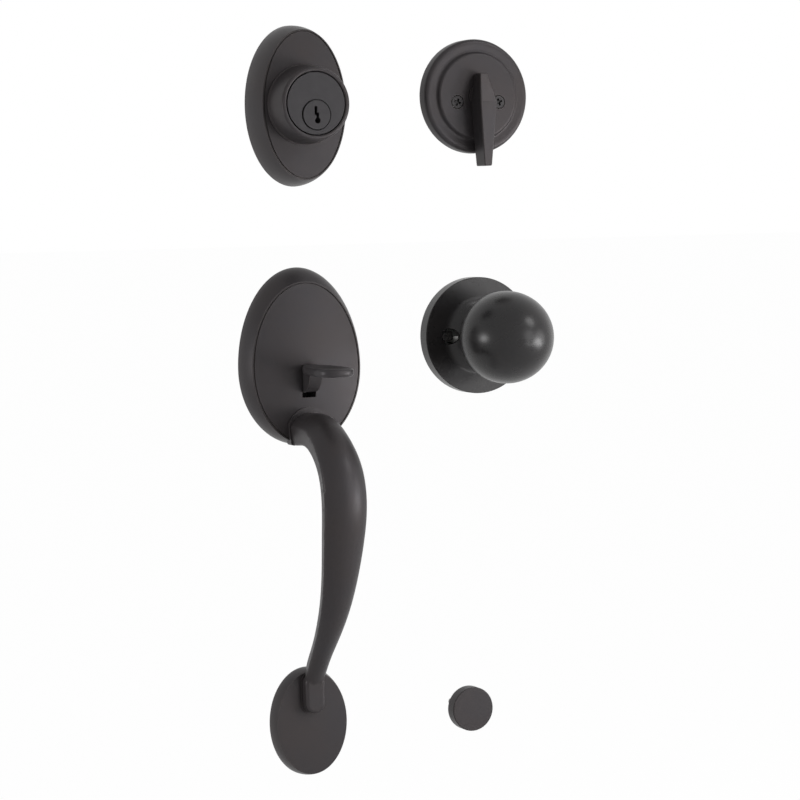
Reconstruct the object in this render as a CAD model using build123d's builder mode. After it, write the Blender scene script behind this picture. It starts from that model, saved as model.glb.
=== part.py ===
"""Entry door handleset: outside deadbolt cylinder, inside thumbturn, outside grip handle with thumbpiece,
inside knob and the round cap of the lower through-bolt.

The five sets lie side by side, all with their backs on the door plane Y = 0, outside pieces left and inside pieces
right. The origin is the outside latch axis on the door face, +X runs right, +Y into the door and +Z up, in mm.
"""

import os
from math import atan2, cos, degrees, radians, sin

from build123d import *

# Drilling of the door
BORE_SPACING = 139.7
LATCH_BOLT_SPACING = 38.1
DEADBOLT_BOLT_SPACING = 27.0
DEADBOLT_BOLT_DROP = 3.5
BOLT_RADIUS = 2.08
BOLT_CLEARANCE = 0.22
SHOULDER_RADIUS = 2.5
SHOULDER_PAST_DOOR = 0.3
TAPPED_RADIUS = 1.73

# Places of the five sets
OUTSIDE_X = 0.0
THUMBTURN_X = 114.2
KNOB_X = 112.4
CAP_X = 104.0
THUMBTURN_LIFT = 5.2
KNOB_LIFT = 4.5
LOWER_PLATE_Z = -215.6
CAP_Z = -218.0

# Clearances
RUNNING = 0.05
SEAT_GAP = 0.1
FREE_GAP = 0.3
SLOT_GAP = 0.4

# Outside deadbolt rosette
ROSETTE_WIDTH = 57.7
ROSETTE_HEIGHT = 91.7
ROSETTE_DEPTH = 20.0
ROSETTE_INSET = 3.35
ROSETTE_WALL = 2.0

# Face edge line of the oval plates
LINE_WIDTH = 0.7
LINE_DEPTH = 0.5
LINE_MARGIN = 0.7
BULGE_SHARE = 0.35
BULGE_PLACE = 0.55

# Cylinder collar
COLLAR_BASE_RADIUS = 22.4
COLLAR_FRONT_RADIUS = 20.4
COLLAR_LENGTH = 16.6
COLLAR_FOOT_HEIGHT = 0.9
COLLAR_FOOT_RADIUS = 22.9
COLLAR_LIP = 1.2

# Cylinder body
BODY_RADIUS = 17.4
BODY_RECESS = 0.3
BODY_LENGTH = 26.0
LUG_RADIUS = 4.2
LUG_REACH = 16.0

# Key plug
PLUG_DROP = 6.4
PLUG_RADIUS = 6.35
PLUG_FACE_RADIUS = 8.2
PLUG_FACE_THICKNESS = 2.6
PLUG_PROUD = 0.6
KEYWAY_HEIGHT = 9.6
KEYWAY_WIDTH = 1.5
KEYWAY_FOOT_RADIUS = 1.6
KEYWAY_JOG = 1.0
KEYWAY_DEPTH = 22.0
CLIP_THICKNESS = 0.9
CLIP_BAND = 3.0
CLIP_GROOVE_DEPTH = 0.9
BLADE_WIDTH = 6.2
BLADE_THICKNESS = 2.2
BLADE_REACH = 38.0
BLADE_SOCKET = 5.0

# Inside deadbolt rosette and backplate
TURN_ROSETTE_RADIUS = 33.35
TURN_RIM_HEIGHT = 8.2
TURN_RIM_ROUND = 1.8
TURN_STEP_RADIUS = 24.2
TURN_FACE_HEIGHT = 10.0
TURN_SHEET = 1.4
BACKPLATE_THICKNESS = 2.0

# Thumbturn
TURN_HUB_RADIUS = 6.0
TURN_TOP = 13.0
TURN_TIP = 41.0
TURN_TOP_FRONT = 18.2
TURN_CREST_FRONT = 24.0
TURN_TIP_FRONT = 22.0
TURN_TIP_BACK = 10.6
TURN_CREST_DROP = 4.0
TURN_TOP_WIDTH = 4.8
TURN_CREST_WIDTH = 10.5
TURN_TIP_WIDTH = 4.8
TURN_EDGE = 0.5
TURN_BACK_DROP = 14.0
TURN_HUB_TAIL = 3.0

# Screws
SCREW_HEAD_RADIUS = 3.7
CROSS_WIDTH = 1.1
CROSS_SPAN = 4.2
CROSS_DEPTH = 1.6
TURN_SCREW_REACH = 34.0

# Outside upper plate
UPPER_Z = -9.5
UPPER_HALF_WIDTH = 37.0
UPPER_RISE = 57.1
UPPER_DROP = 44.9
UPPER_DEPTH = 13.0
UPPER_FACE_HALF_WIDTH = 33.35
UPPER_FACE_RISE = 49.3
UPPER_FACE_DROP = 44.0
UPPER_CROWN = 3.0
CROWN_RINGS = (1.0, 0.8, 0.6, 0.4, 0.2, 0.05)
UPPER_WALL = 1.6
POST_RADIUS = 4.5
POST_REACH = 25.0
POST_BORE_DEPTH = 22.0

# Outside lower plate
LOWER_HALF_WIDTH = 23.2
LOWER_HALF_HEIGHT = 31.6
LOWER_DEPTH = 9.0
LOWER_INSET = 1.6
LOWER_WALL = 2.0
LOWER_POST_REACH = 30.0

# Grip, given at stations down its length: distance out, height, width and thickness
GRIP_STATIONS = (
    (9.0, -42.8, 22.5, 18.6),
    (28.0, -44.0, 23.2, 18.2),
    (41.2, -48.0, 23.4, 16.8),
    (51.8, -55.6, 24.3, 15.4),
    (60.0, -66.3, 25.3, 14.2),
    (63.8, -82.0, 25.7, 13.5),
    (61.1, -103.0, 24.5, 12.9),
    (55.8, -122.5, 21.6, 12.3),
    (48.0, -141.5, 18.4, 11.5),
    (36.4, -159.5, 15.2, 10.5),
    (24.4, -173.8, 12.9, 9.9),
    (16.0, -185.0, 12.0, 9.6),
    (13.0, -190.8, 11.8, 6.2),
    (12.2, -196.0, 11.0, 4.6),
)
GRIP_SIDE_SHARE = 0.58
GRIP_BACK_TAPER = 1.2
GRIP_BACK_ROUND = 1.6
ROOT_PAD_MARGIN = 1.5
ROOT_PAD_HEIGHT = 2.6
ROOT_PAD_FOOT = 4.0
FOOT_WIDTH = 12.0
FOOT_LENGTH = 23.0
FOOT_BOTTOM = -209.3
FOOT_HEIGHT = 6.4
FOOT_END_SHARE = 0.48
FOOT_EDGE = 2.0
FOOT_PAD_MARGIN = 1.0
FOOT_PAD_HEIGHT = 0.8

# Thumbpiece, bracket, pin and spring
THUMB_SLOT_WIDTH = 8.4
THUMB_SLOT_TOP = -8.0
THUMB_SLOT_BOTTOM = -26.5
PIVOT_OUT = 7.0
PIVOT_Z = -12.0
PIVOT_RADIUS = 1.5
WEB_THICKNESS = 7.6
WEB_BOTTOM_Z = -23.4
WEB_ROOT_OUT = 17.0
WEB_HEEL = (24.0, -19.2)
WEB_FRONT_OUT = 26.8
HUB_RADIUS = 4.2
PADDLE_START = 18.0
PADDLE_END = 63.5
PADDLE_NECK = 9.0
PADDLE_WIDEST = 0.6
PADDLE_WIDTH = 22.0
PADDLE_THICKNESS = 4.6
PADDLE_TOP_Z = -7.6
PADDLE_TILT = 1.0
PADDLE_DISH = 0.9
PADDLE_DISH_RADIUS = 55.0
PADDLE_EDGE = 1.7
TAIL_REACH = 27.0
TAIL_HEIGHT = 5.0
TAIL_RISE = 5.0
BRACKET_SHEET = 1.5
BRACKET_HALF_WIDTH = 13.0
BRACKET_TOP = 2.5
BRACKET_BOTTOM = -31.0
EAR_BACK = 0.6
EAR_TOP = -7.5
EAR_BOTTOM = -29.0
BRACKET_FLOOR_TOP = -20.0
SHELF_REACH = 9.5
THUMB_SPRING_BACK = 5.0
THUMB_SPRING_RADIUS = 2.4
THUMB_SPRING_WIRE = 0.7
THUMB_SPRING_TURNS = 3

# Grip screws
GRIP_SCREW_SPACING = 11.0
GRIP_SCREW_Z = -42.8
GRIP_SCREW_DEPTH = 11.0
PAN_HEAD_RADIUS = 3.4
PAN_HEAD_HEIGHT = 2.4
FOOT_SCREW_Z = -197.0
FOOT_SCREW_DEPTH = 4.6

# Knob rose, liner and knob
ROSE_RADIUS = 34.3
ROSE_SIDE = 7.9
ROSE_BEVEL = 0.35
ROSE_DISH_HEIGHT = 7.5
ROSE_NECK_RADIUS = 12.6
ROSE_NECK_HEIGHT = 18.0
ROSE_WALL = 1.5
ROSE_SCREW_WELL = 4.8
LINER_THICKNESS = 2.6
BARREL_RADIUS = 10.4
BARREL_HEIGHT = 12.0
SHANK_RADIUS = 8.9
KNOB_RADIUS = 26.8
KNOB_MIDDLE = 44.0
KNOB_NOSE = 31.0
KNOB_NOSE_SHARE = 0.888
KNOB_NECK_RADIUS = 11.4
KNOB_WALL = 2.6
SPINDLE_SIDE = 7.9
SPINDLE_REACH = 42.0
SPINDLE_SOCKET = 24.0
KNOB_SPRING_WIRE = 1.2
KNOB_SPRING_TURNS = 2
BOLT_HEAD_RADIUS = 3.4
BOLT_HEAD_HEIGHT = 3.0
KNOB_BOLT_REACH = 26.0

# Lower bolt cap
CAP_RADIUS = 13.1
CAP_DEPTH = 8.0
CAP_WALL = 1.3
CAP_ROUND = 0.9
CAP_BASE_THICKNESS = 2.4
CAP_BOLT_HEAD_RADIUS = 4.6
CAP_BOLT_HEAD_HEIGHT = 2.8
CAP_BOLT_REACH = 22.0

# Values that follow
DEADBOLT_Z = BORE_SPACING
THUMBTURN_Z = BORE_SPACING + THUMBTURN_LIFT
KNOB_Z = KNOB_LIFT
PLUG_Z = DEADBOLT_Z - PLUG_DROP
COLLAR_FRONT = ROSETTE_DEPTH + COLLAR_LENGTH
BODY_FRONT = COLLAR_FRONT - BODY_RECESS
BODY_BACK = BODY_FRONT - BODY_LENGTH
PLUG_FRONT = BODY_FRONT + PLUG_PROUD
PLUG_BACK = BODY_BACK - SEAT_GAP - 2 * CLIP_THICKNESS
BOLT_HOLE_RADIUS = BOLT_RADIUS + BOLT_CLEARANCE
SHOULDER_HOLE_RADIUS = SHOULDER_RADIUS + BOLT_CLEARANCE

os.makedirs("parts", exist_ok=True)


def facing(x, z, out=0.0):
    """Plane parallel to the door at a distance out from it: local x runs right and local y up."""
    return Plane(origin=(x, -out, z), x_dir=(1, 0, 0), z_dir=(0, -1, 0))


def turning(x, z):
    """Plane through a turned piece's axis: local x is the radius and local y the distance out."""
    return Plane(origin=(x, 0, z), x_dir=(1, 0, 0), z_dir=(0, 0, -1))


def spin_axis(x, z):
    """Axis of a turned piece, pointing out of the door."""
    return Axis((x, 0, z), (0, -1, 0))


def side_plane(x):
    """Plane across the door: local x is the distance out and local y is up."""
    return Plane(origin=(x, 0, 0), x_dir=(0, -1, 0), z_dir=(-1, 0, 0))


def egg(half_width, rise, drop):
    """Outline of two half ellipses that meet at the widest line."""
    with BuildSketch() as outline:
        with BuildLine():
            EllipticalCenterArc((0, 0), half_width, rise, 0, arc_size=180)
            EllipticalCenterArc((0, 0), half_width, drop, 180, arc_size=180)
        make_face()
    return outline.sketch


def egg_levels(base, face, depth, wall=0.0):
    """Three levels of a bulged oval wall, each as a distance out and its egg outline."""
    inset = [b - f for b, f in zip(base, face)]
    levels = []
    for out, share in ((0.0, 0.0), (depth * BULGE_PLACE, BULGE_SHARE), (depth - wall, 1.0 - wall / depth)):
        sizes = [b - wall - i * share for b, i in zip(base, inset)]
        levels.append((out, egg(*sizes)))
    return levels


def cross_recess():
    """Crossed driver slots of a screw head."""
    with BuildSketch() as cross:
        Rectangle(CROSS_SPAN, CROSS_WIDTH)
        Rectangle(CROSS_WIDTH, CROSS_SPAN)
    return cross.sketch


def turned(points):
    """Closed profile of a turned piece from its corners."""
    with BuildSketch() as profile:
        with BuildLine():
            Polyline(*points, close=True)
        make_face()
    return profile.sketch


# Outside deadbolt: oval rosette
ROSETTE_BASE = (ROSETTE_WIDTH / 2, ROSETTE_HEIGHT / 2, ROSETTE_HEIGHT / 2)
ROSETTE_FACE = tuple(size - ROSETTE_INSET for size in ROSETTE_BASE)

with BuildPart() as deadbolt_oval_rosette:
    for out, outline in egg_levels(ROSETTE_BASE, ROSETTE_FACE, ROSETTE_DEPTH):
        with BuildSketch(facing(OUTSIDE_X, DEADBOLT_Z, out)):
            add(outline)
    loft()
    for out, outline in egg_levels(ROSETTE_BASE, ROSETTE_FACE, ROSETTE_DEPTH, ROSETTE_WALL):
        with BuildSketch(facing(OUTSIDE_X, DEADBOLT_Z, out)):
            add(outline)
    loft(mode=Mode.SUBTRACT)
    with BuildSketch(facing(OUTSIDE_X, DEADBOLT_Z, ROSETTE_DEPTH)):
        add(egg(*(size - LINE_MARGIN for size in ROSETTE_FACE)))
        add(egg(*(size - LINE_MARGIN - LINE_WIDTH for size in ROSETTE_FACE)), mode=Mode.SUBTRACT)
    extrude(amount=-LINE_DEPTH, mode=Mode.SUBTRACT)
    with BuildSketch(facing(OUTSIDE_X, DEADBOLT_Z, ROSETTE_DEPTH)):
        Circle(BODY_RADIUS + FREE_GAP)
    extrude(amount=-2 * ROSETTE_WALL, mode=Mode.SUBTRACT)

# Outside deadbolt: tapered collar round the cylinder
COLLAR_BORE = BODY_RADIUS + FREE_GAP

with BuildPart() as cylinder_collar:
    with BuildSketch(turning(OUTSIDE_X, DEADBOLT_Z)):
        with BuildLine():
            Polyline(
                (COLLAR_BORE, ROSETTE_DEPTH),
                (COLLAR_FOOT_RADIUS, ROSETTE_DEPTH),
                (COLLAR_FOOT_RADIUS, ROSETTE_DEPTH + COLLAR_FOOT_HEIGHT),
                (COLLAR_BASE_RADIUS, ROSETTE_DEPTH + COLLAR_FOOT_HEIGHT),
                (COLLAR_FRONT_RADIUS, COLLAR_FRONT),
                (COLLAR_BORE, COLLAR_FRONT),
                close=True,
            )
        make_face()
    revolve(axis=spin_axis(OUTSIDE_X, DEADBOLT_Z))
    front_rim = edges().filter_by(GeomType.CIRCLE).group_by(Axis.Y)[0].sort_by(SortBy.RADIUS)[-1]
    fillet(front_rim, radius=min(COLLAR_LIP, COLLAR_FRONT_RADIUS - COLLAR_BORE - SEAT_GAP))

# Outside deadbolt: cylinder body with two tapped lugs
with BuildPart() as cylinder_body:
    with BuildSketch(facing(OUTSIDE_X, DEADBOLT_Z, BODY_BACK)):
        Circle(BODY_RADIUS)
    extrude(amount=BODY_LENGTH)
    with BuildSketch(facing(OUTSIDE_X, DEADBOLT_Z - DEADBOLT_BOLT_DROP, BODY_BACK)):
        with GridLocations(DEADBOLT_BOLT_SPACING, 0, 2, 1):
            Circle(LUG_RADIUS)
    extrude(amount=-(BODY_BACK + LUG_REACH))
    with BuildSketch(facing(OUTSIDE_X, DEADBOLT_Z - DEADBOLT_BOLT_DROP, -LUG_REACH)):
        with GridLocations(DEADBOLT_BOLT_SPACING, 0, 2, 1):
            Circle(TAPPED_RADIUS)
    extrude(amount=LUG_REACH + BODY_BACK, mode=Mode.SUBTRACT)
    with BuildSketch(facing(OUTSIDE_X, PLUG_Z, BODY_BACK)):
        Circle(PLUG_RADIUS + RUNNING)
    extrude(amount=BODY_LENGTH, mode=Mode.SUBTRACT)
    with BuildSketch(facing(OUTSIDE_X, PLUG_Z, PLUG_FRONT - PLUG_FACE_THICKNESS - SEAT_GAP)):
        Circle(PLUG_FACE_RADIUS + SEAT_GAP)
    extrude(amount=PLUG_FACE_THICKNESS, mode=Mode.SUBTRACT)

# Outside deadbolt: key plug with its keyway and the socket of its blade
with BuildPart() as key_plug:
    with BuildSketch(facing(OUTSIDE_X, PLUG_Z, PLUG_FRONT)):
        Circle(PLUG_FACE_RADIUS)
    extrude(amount=-PLUG_FACE_THICKNESS)
    with BuildSketch(facing(OUTSIDE_X, PLUG_Z, PLUG_BACK)):
        Circle(PLUG_RADIUS)
    extrude(amount=PLUG_FRONT - PLUG_FACE_THICKNESS - PLUG_BACK)
    with BuildSketch(facing(OUTSIDE_X, PLUG_Z, PLUG_FRONT)):
        with Locations((-KEYWAY_JOG / 2, KEYWAY_HEIGHT / 4)):
            Rectangle(KEYWAY_WIDTH, KEYWAY_HEIGHT / 2)
        with Locations((KEYWAY_JOG / 2, -KEYWAY_HEIGHT / 8)):
            Rectangle(KEYWAY_WIDTH, KEYWAY_HEIGHT / 2)
        with Locations((KEYWAY_JOG / 2, KEYWAY_FOOT_RADIUS - KEYWAY_HEIGHT / 2)):
            Circle(KEYWAY_FOOT_RADIUS)
    extrude(amount=-KEYWAY_DEPTH, mode=Mode.SUBTRACT)
    with BuildSketch(facing(OUTSIDE_X, PLUG_Z, BODY_BACK - SEAT_GAP)):
        Circle(PLUG_RADIUS)
        Circle(PLUG_RADIUS - CLIP_GROOVE_DEPTH, mode=Mode.SUBTRACT)
    extrude(amount=-CLIP_THICKNESS, mode=Mode.SUBTRACT)
    with BuildSketch(facing(OUTSIDE_X, PLUG_Z, PLUG_BACK)):
        Rectangle(BLADE_THICKNESS + 2 * SEAT_GAP, BLADE_WIDTH + 2 * SEAT_GAP)
    extrude(amount=BLADE_SOCKET, mode=Mode.SUBTRACT)

# Outside deadbolt: snap ring behind the body
with BuildPart() as plug_retainer:
    with BuildSketch(facing(OUTSIDE_X, PLUG_Z, BODY_BACK - SEAT_GAP)):
        Circle(PLUG_RADIUS - CLIP_GROOVE_DEPTH + RUNNING + CLIP_BAND)
        Circle(PLUG_RADIUS - CLIP_GROOVE_DEPTH + RUNNING, mode=Mode.SUBTRACT)
        with Locations((0, PLUG_RADIUS)):
            Rectangle(2 * CLIP_BAND, 2 * CLIP_BAND, mode=Mode.SUBTRACT)
    extrude(amount=-(CLIP_THICKNESS - RUNNING))

# Outside deadbolt: flat blade that turns the bolt
with BuildPart() as deadbolt_tailpiece:
    with BuildSketch(facing(OUTSIDE_X, PLUG_Z, PLUG_BACK + BLADE_SOCKET - SEAT_GAP)):
        Rectangle(BLADE_THICKNESS, BLADE_WIDTH)
    extrude(amount=-(PLUG_BACK + BLADE_SOCKET - SEAT_GAP + BLADE_REACH))
    chamfer(faces().sort_by(Axis.Y)[-1].edges(), length=BLADE_THICKNESS / 4)

# Inside deadbolt: stepped round rosette
TURN_STEP_FOOT = TURN_STEP_RADIUS + (TURN_FACE_HEIGHT - TURN_RIM_HEIGHT) / 2
TURN_SCREW_Z = THUMBTURN_Z - DEADBOLT_BOLT_DROP

with BuildPart() as turn_rosette:
    with BuildSketch(turning(THUMBTURN_X, THUMBTURN_Z)):
        with BuildLine():
            Polyline(
                (0, TURN_FACE_HEIGHT),
                (TURN_STEP_RADIUS, TURN_FACE_HEIGHT),
                (TURN_STEP_FOOT, TURN_RIM_HEIGHT),
                (TURN_ROSETTE_RADIUS - TURN_RIM_ROUND, TURN_RIM_HEIGHT),
                (TURN_ROSETTE_RADIUS, TURN_RIM_HEIGHT - TURN_RIM_ROUND),
                (TURN_ROSETTE_RADIUS, 0),
                (TURN_ROSETTE_RADIUS - TURN_SHEET, 0),
                (TURN_ROSETTE_RADIUS - TURN_SHEET, TURN_RIM_HEIGHT - TURN_RIM_ROUND - TURN_SHEET / 2),
                (TURN_ROSETTE_RADIUS - TURN_RIM_ROUND - TURN_SHEET / 2, TURN_RIM_HEIGHT - TURN_SHEET),
                (TURN_STEP_RADIUS, TURN_RIM_HEIGHT - TURN_SHEET),
                (TURN_STEP_RADIUS - TURN_SHEET, TURN_FACE_HEIGHT - TURN_SHEET),
                (0, TURN_FACE_HEIGHT - TURN_SHEET),
                close=True,
            )
        make_face()
    revolve(axis=spin_axis(THUMBTURN_X, THUMBTURN_Z))
    with BuildSketch(facing(THUMBTURN_X, THUMBTURN_Z)):
        Circle(TURN_HUB_RADIUS + FREE_GAP)
    extrude(amount=TURN_FACE_HEIGHT, mode=Mode.SUBTRACT)
    with Locations(facing(THUMBTURN_X, TURN_SCREW_Z, TURN_FACE_HEIGHT)):
        with GridLocations(DEADBOLT_BOLT_SPACING, 0, 2, 1):
            CounterSinkHole(SHOULDER_HOLE_RADIUS, SCREW_HEAD_RADIUS + SEAT_GAP, counter_sink_angle=90)

# Inside deadbolt: backplate that the screws pull against the door
with BuildPart() as turn_backplate:
    with BuildSketch(facing(THUMBTURN_X, THUMBTURN_Z)):
        Circle(TURN_ROSETTE_RADIUS - TURN_SHEET - FREE_GAP)
        Circle(TURN_HUB_RADIUS + RUNNING, mode=Mode.SUBTRACT)
    extrude(amount=BACKPLATE_THICKNESS)
    with BuildSketch(facing(THUMBTURN_X, TURN_SCREW_Z)):
        with GridLocations(DEADBOLT_BOLT_SPACING, 0, 2, 1):
            Circle(SHOULDER_HOLE_RADIUS)
    extrude(amount=BACKPLATE_THICKNESS, mode=Mode.SUBTRACT)
    plate_rim = edges().filter_by(GeomType.CIRCLE).group_by(Axis.Y)[0].sort_by(SortBy.RADIUS)[-1]
    chamfer(plate_rim, length=BACKPLATE_THICKNESS / 2)

# Inside deadbolt: bush between rosette and backplate
with BuildPart() as turn_bush:
    with BuildSketch(facing(THUMBTURN_X, THUMBTURN_Z, BACKPLATE_THICKNESS)):
        Circle(TURN_HUB_RADIUS + 2 * TURN_SHEET)
        Circle(TURN_HUB_RADIUS + RUNNING, mode=Mode.SUBTRACT)
    extrude(amount=TURN_FACE_HEIGHT - TURN_SHEET - BACKPLATE_THICKNESS)

# Inside deadbolt: faceted thumbturn with its hub
TURN_BACK = TURN_FACE_HEIGHT + SEAT_GAP
TURN_CREST_Z = THUMBTURN_Z - TURN_CREST_DROP
TURN_TIP_Z = THUMBTURN_Z - TURN_TIP
TURN_TOP_Z = THUMBTURN_Z + TURN_TOP

with BuildPart() as thumbturn:
    with BuildSketch(side_plane(THUMBTURN_X)):
        with BuildLine():
            Polyline(
                (TURN_BACK, TURN_TOP_Z),
                (TURN_TOP_FRONT, TURN_TOP_Z),
                (TURN_CREST_FRONT, TURN_CREST_Z),
                (TURN_TIP_FRONT, TURN_TIP_Z),
                (TURN_TIP_BACK, TURN_TIP_Z),
                (TURN_BACK, THUMBTURN_Z - TURN_BACK_DROP),
                close=True,
            )
        make_face()
    extrude(amount=TURN_CREST_WIDTH, both=True)
    with BuildSketch(facing(THUMBTURN_X, THUMBTURN_Z)):
        with BuildLine():
            Polyline(
                (-TURN_TOP_WIDTH / 2, TURN_TOP),
                (TURN_TOP_WIDTH / 2, TURN_TOP),
                (TURN_CREST_WIDTH / 2, -TURN_CREST_DROP),
                (TURN_TIP_WIDTH / 2, -TURN_TIP),
                (-TURN_TIP_WIDTH / 2, -TURN_TIP),
                (-TURN_CREST_WIDTH / 2, -TURN_CREST_DROP),
                close=True,
            )
        make_face()
    extrude(amount=TURN_CREST_FRONT, mode=Mode.INTERSECT)
    chamfer(edges(), length=TURN_EDGE)
    with BuildSketch(facing(THUMBTURN_X, THUMBTURN_Z, TURN_BACK + TURN_EDGE)):
        Circle(TURN_HUB_RADIUS)
    extrude(amount=-(TURN_BACK + TURN_EDGE + TURN_HUB_TAIL))
    with BuildSketch(facing(THUMBTURN_X, THUMBTURN_Z, -SEAT_GAP)):
        Circle(TURN_HUB_RADIUS)
        Circle(TURN_HUB_RADIUS - CLIP_GROOVE_DEPTH, mode=Mode.SUBTRACT)
    extrude(amount=-CLIP_THICKNESS, mode=Mode.SUBTRACT)
    with BuildSketch(facing(THUMBTURN_X, THUMBTURN_Z, -TURN_HUB_TAIL)):
        Rectangle(BLADE_THICKNESS + 2 * FREE_GAP, BLADE_WIDTH + 2 * FREE_GAP)
    extrude(amount=2 * BLADE_SOCKET, mode=Mode.SUBTRACT)

# Inside deadbolt: snap ring on the hub
with BuildPart() as turn_clip:
    with BuildSketch(facing(THUMBTURN_X, THUMBTURN_Z, -SEAT_GAP)):
        Circle(TURN_HUB_RADIUS - CLIP_GROOVE_DEPTH + RUNNING + CLIP_BAND)
        Circle(TURN_HUB_RADIUS - CLIP_GROOVE_DEPTH + RUNNING, mode=Mode.SUBTRACT)
        with Locations((0, TURN_HUB_RADIUS)):
            Rectangle(2 * CLIP_BAND, 2 * CLIP_BAND, mode=Mode.SUBTRACT)
    extrude(amount=-(CLIP_THICKNESS - RUNNING))

# Inside deadbolt: two through screws
with BuildPart() as turn_screws:
    for side in (-1, 1):
        screw_x = THUMBTURN_X + side * DEADBOLT_BOLT_SPACING / 2
        with BuildSketch(turning(screw_x, TURN_SCREW_Z)):
            add(
                turned(
                    (
                        (0, TURN_FACE_HEIGHT),
                        (SCREW_HEAD_RADIUS, TURN_FACE_HEIGHT),
                        (SHOULDER_RADIUS, TURN_FACE_HEIGHT - SCREW_HEAD_RADIUS + SHOULDER_RADIUS),
                        (SHOULDER_RADIUS, -SHOULDER_PAST_DOOR),
                        (BOLT_RADIUS, -SHOULDER_PAST_DOOR),
                        (BOLT_RADIUS, -TURN_SCREW_REACH),
                        (0, -TURN_SCREW_REACH),
                    )
                )
            )
        revolve(axis=spin_axis(screw_x, TURN_SCREW_Z))
        with BuildSketch(facing(screw_x, TURN_SCREW_Z, TURN_FACE_HEIGHT)):
            add(cross_recess(), rotation=side * 20)
        extrude(amount=-CROSS_DEPTH, mode=Mode.SUBTRACT)

# Outside handle: hollow egg-shaped upper plate with the thumb slot
UPPER_BASE = (UPPER_HALF_WIDTH, UPPER_RISE, UPPER_DROP)
UPPER_FACE = (UPPER_FACE_HALF_WIDTH, UPPER_FACE_RISE, UPPER_FACE_DROP)
UPPER_INSIDE = UPPER_DEPTH - UPPER_WALL

with BuildPart() as upper_plate_form:
    for out, outline in egg_levels(UPPER_BASE, UPPER_FACE, UPPER_DEPTH):
        with BuildSketch(facing(OUTSIDE_X, UPPER_Z, out)):
            add(outline)
    loft()
    for ring in CROWN_RINGS:
        with BuildSketch(facing(OUTSIDE_X, UPPER_Z, UPPER_DEPTH + UPPER_CROWN * (1 - ring**2))):
            add(egg(*(size * ring for size in UPPER_FACE)))
    loft()

with BuildPart() as upper_plate:
    add(upper_plate_form.part)
    for out, outline in egg_levels(UPPER_BASE, UPPER_FACE, UPPER_DEPTH, UPPER_WALL):
        with BuildSketch(facing(OUTSIDE_X, UPPER_Z, out)):
            add(outline)
    loft(mode=Mode.SUBTRACT)
    with BuildSketch(facing(OUTSIDE_X, UPPER_Z, UPPER_DEPTH - LINE_DEPTH / 2)):
        add(egg(*(size - LINE_MARGIN for size in UPPER_FACE)))
        add(egg(*(size - LINE_MARGIN - LINE_WIDTH for size in UPPER_FACE)), mode=Mode.SUBTRACT)
    extrude(amount=UPPER_CROWN, mode=Mode.SUBTRACT)
    with BuildSketch(facing(OUTSIDE_X, (THUMB_SLOT_TOP + THUMB_SLOT_BOTTOM) / 2, UPPER_INSIDE)):
        Rectangle(THUMB_SLOT_WIDTH, THUMB_SLOT_TOP - THUMB_SLOT_BOTTOM)
    extrude(amount=UPPER_WALL + UPPER_CROWN, mode=Mode.SUBTRACT)
    with BuildSketch(facing(OUTSIDE_X, GRIP_SCREW_Z, UPPER_INSIDE)):
        with GridLocations(GRIP_SCREW_SPACING, 0, 2, 1):
            Circle(BOLT_HOLE_RADIUS)
    extrude(amount=UPPER_WALL + UPPER_CROWN, mode=Mode.SUBTRACT)

# Outside handle: two tapped posts behind the upper plate
with BuildPart() as mounting_posts:
    with BuildSketch(facing(OUTSIDE_X, 0, UPPER_INSIDE)):
        with GridLocations(LATCH_BOLT_SPACING, 0, 2, 1):
            Circle(POST_RADIUS)
    extrude(amount=-(UPPER_INSIDE + POST_REACH))
    with BuildSketch(facing(OUTSIDE_X, 0, -POST_REACH)):
        with GridLocations(LATCH_BOLT_SPACING, 0, 2, 1):
            Circle(TAPPED_RADIUS)
    extrude(amount=POST_BORE_DEPTH, mode=Mode.SUBTRACT)

# Outside handle: oval lower plate
LOWER_BASE = (LOWER_HALF_WIDTH, LOWER_HALF_HEIGHT, LOWER_HALF_HEIGHT)
LOWER_FACE = tuple(size - LOWER_INSET for size in LOWER_BASE)
LOWER_INSIDE = LOWER_DEPTH - LOWER_WALL

with BuildPart() as lower_plate_form:
    for out, outline in egg_levels(LOWER_BASE, LOWER_FACE, LOWER_DEPTH):
        with BuildSketch(facing(OUTSIDE_X, LOWER_PLATE_Z, out)):
            add(outline)
    loft()

with BuildPart() as lower_plate:
    add(lower_plate_form.part)
    for out, outline in egg_levels(LOWER_BASE, LOWER_FACE, LOWER_DEPTH, LOWER_WALL):
        with BuildSketch(facing(OUTSIDE_X, LOWER_PLATE_Z, out)):
            add(outline)
    loft(mode=Mode.SUBTRACT)
    with BuildSketch(facing(OUTSIDE_X, FOOT_SCREW_Z, LOWER_DEPTH)):
        Circle(BOLT_HOLE_RADIUS)
    extrude(amount=-2 * LOWER_WALL, mode=Mode.SUBTRACT)

# Outside handle: tapped post behind the lower plate
with BuildPart() as lower_post:
    with BuildSketch(facing(OUTSIDE_X, LOWER_PLATE_Z, LOWER_INSIDE)):
        Circle(POST_RADIUS)
    extrude(amount=-(LOWER_INSIDE + LOWER_POST_REACH))
    with BuildSketch(facing(OUTSIDE_X, LOWER_PLATE_Z, -LOWER_POST_REACH)):
        Circle(TAPPED_RADIUS)
    extrude(amount=POST_BORE_DEPTH, mode=Mode.SUBTRACT)


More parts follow.
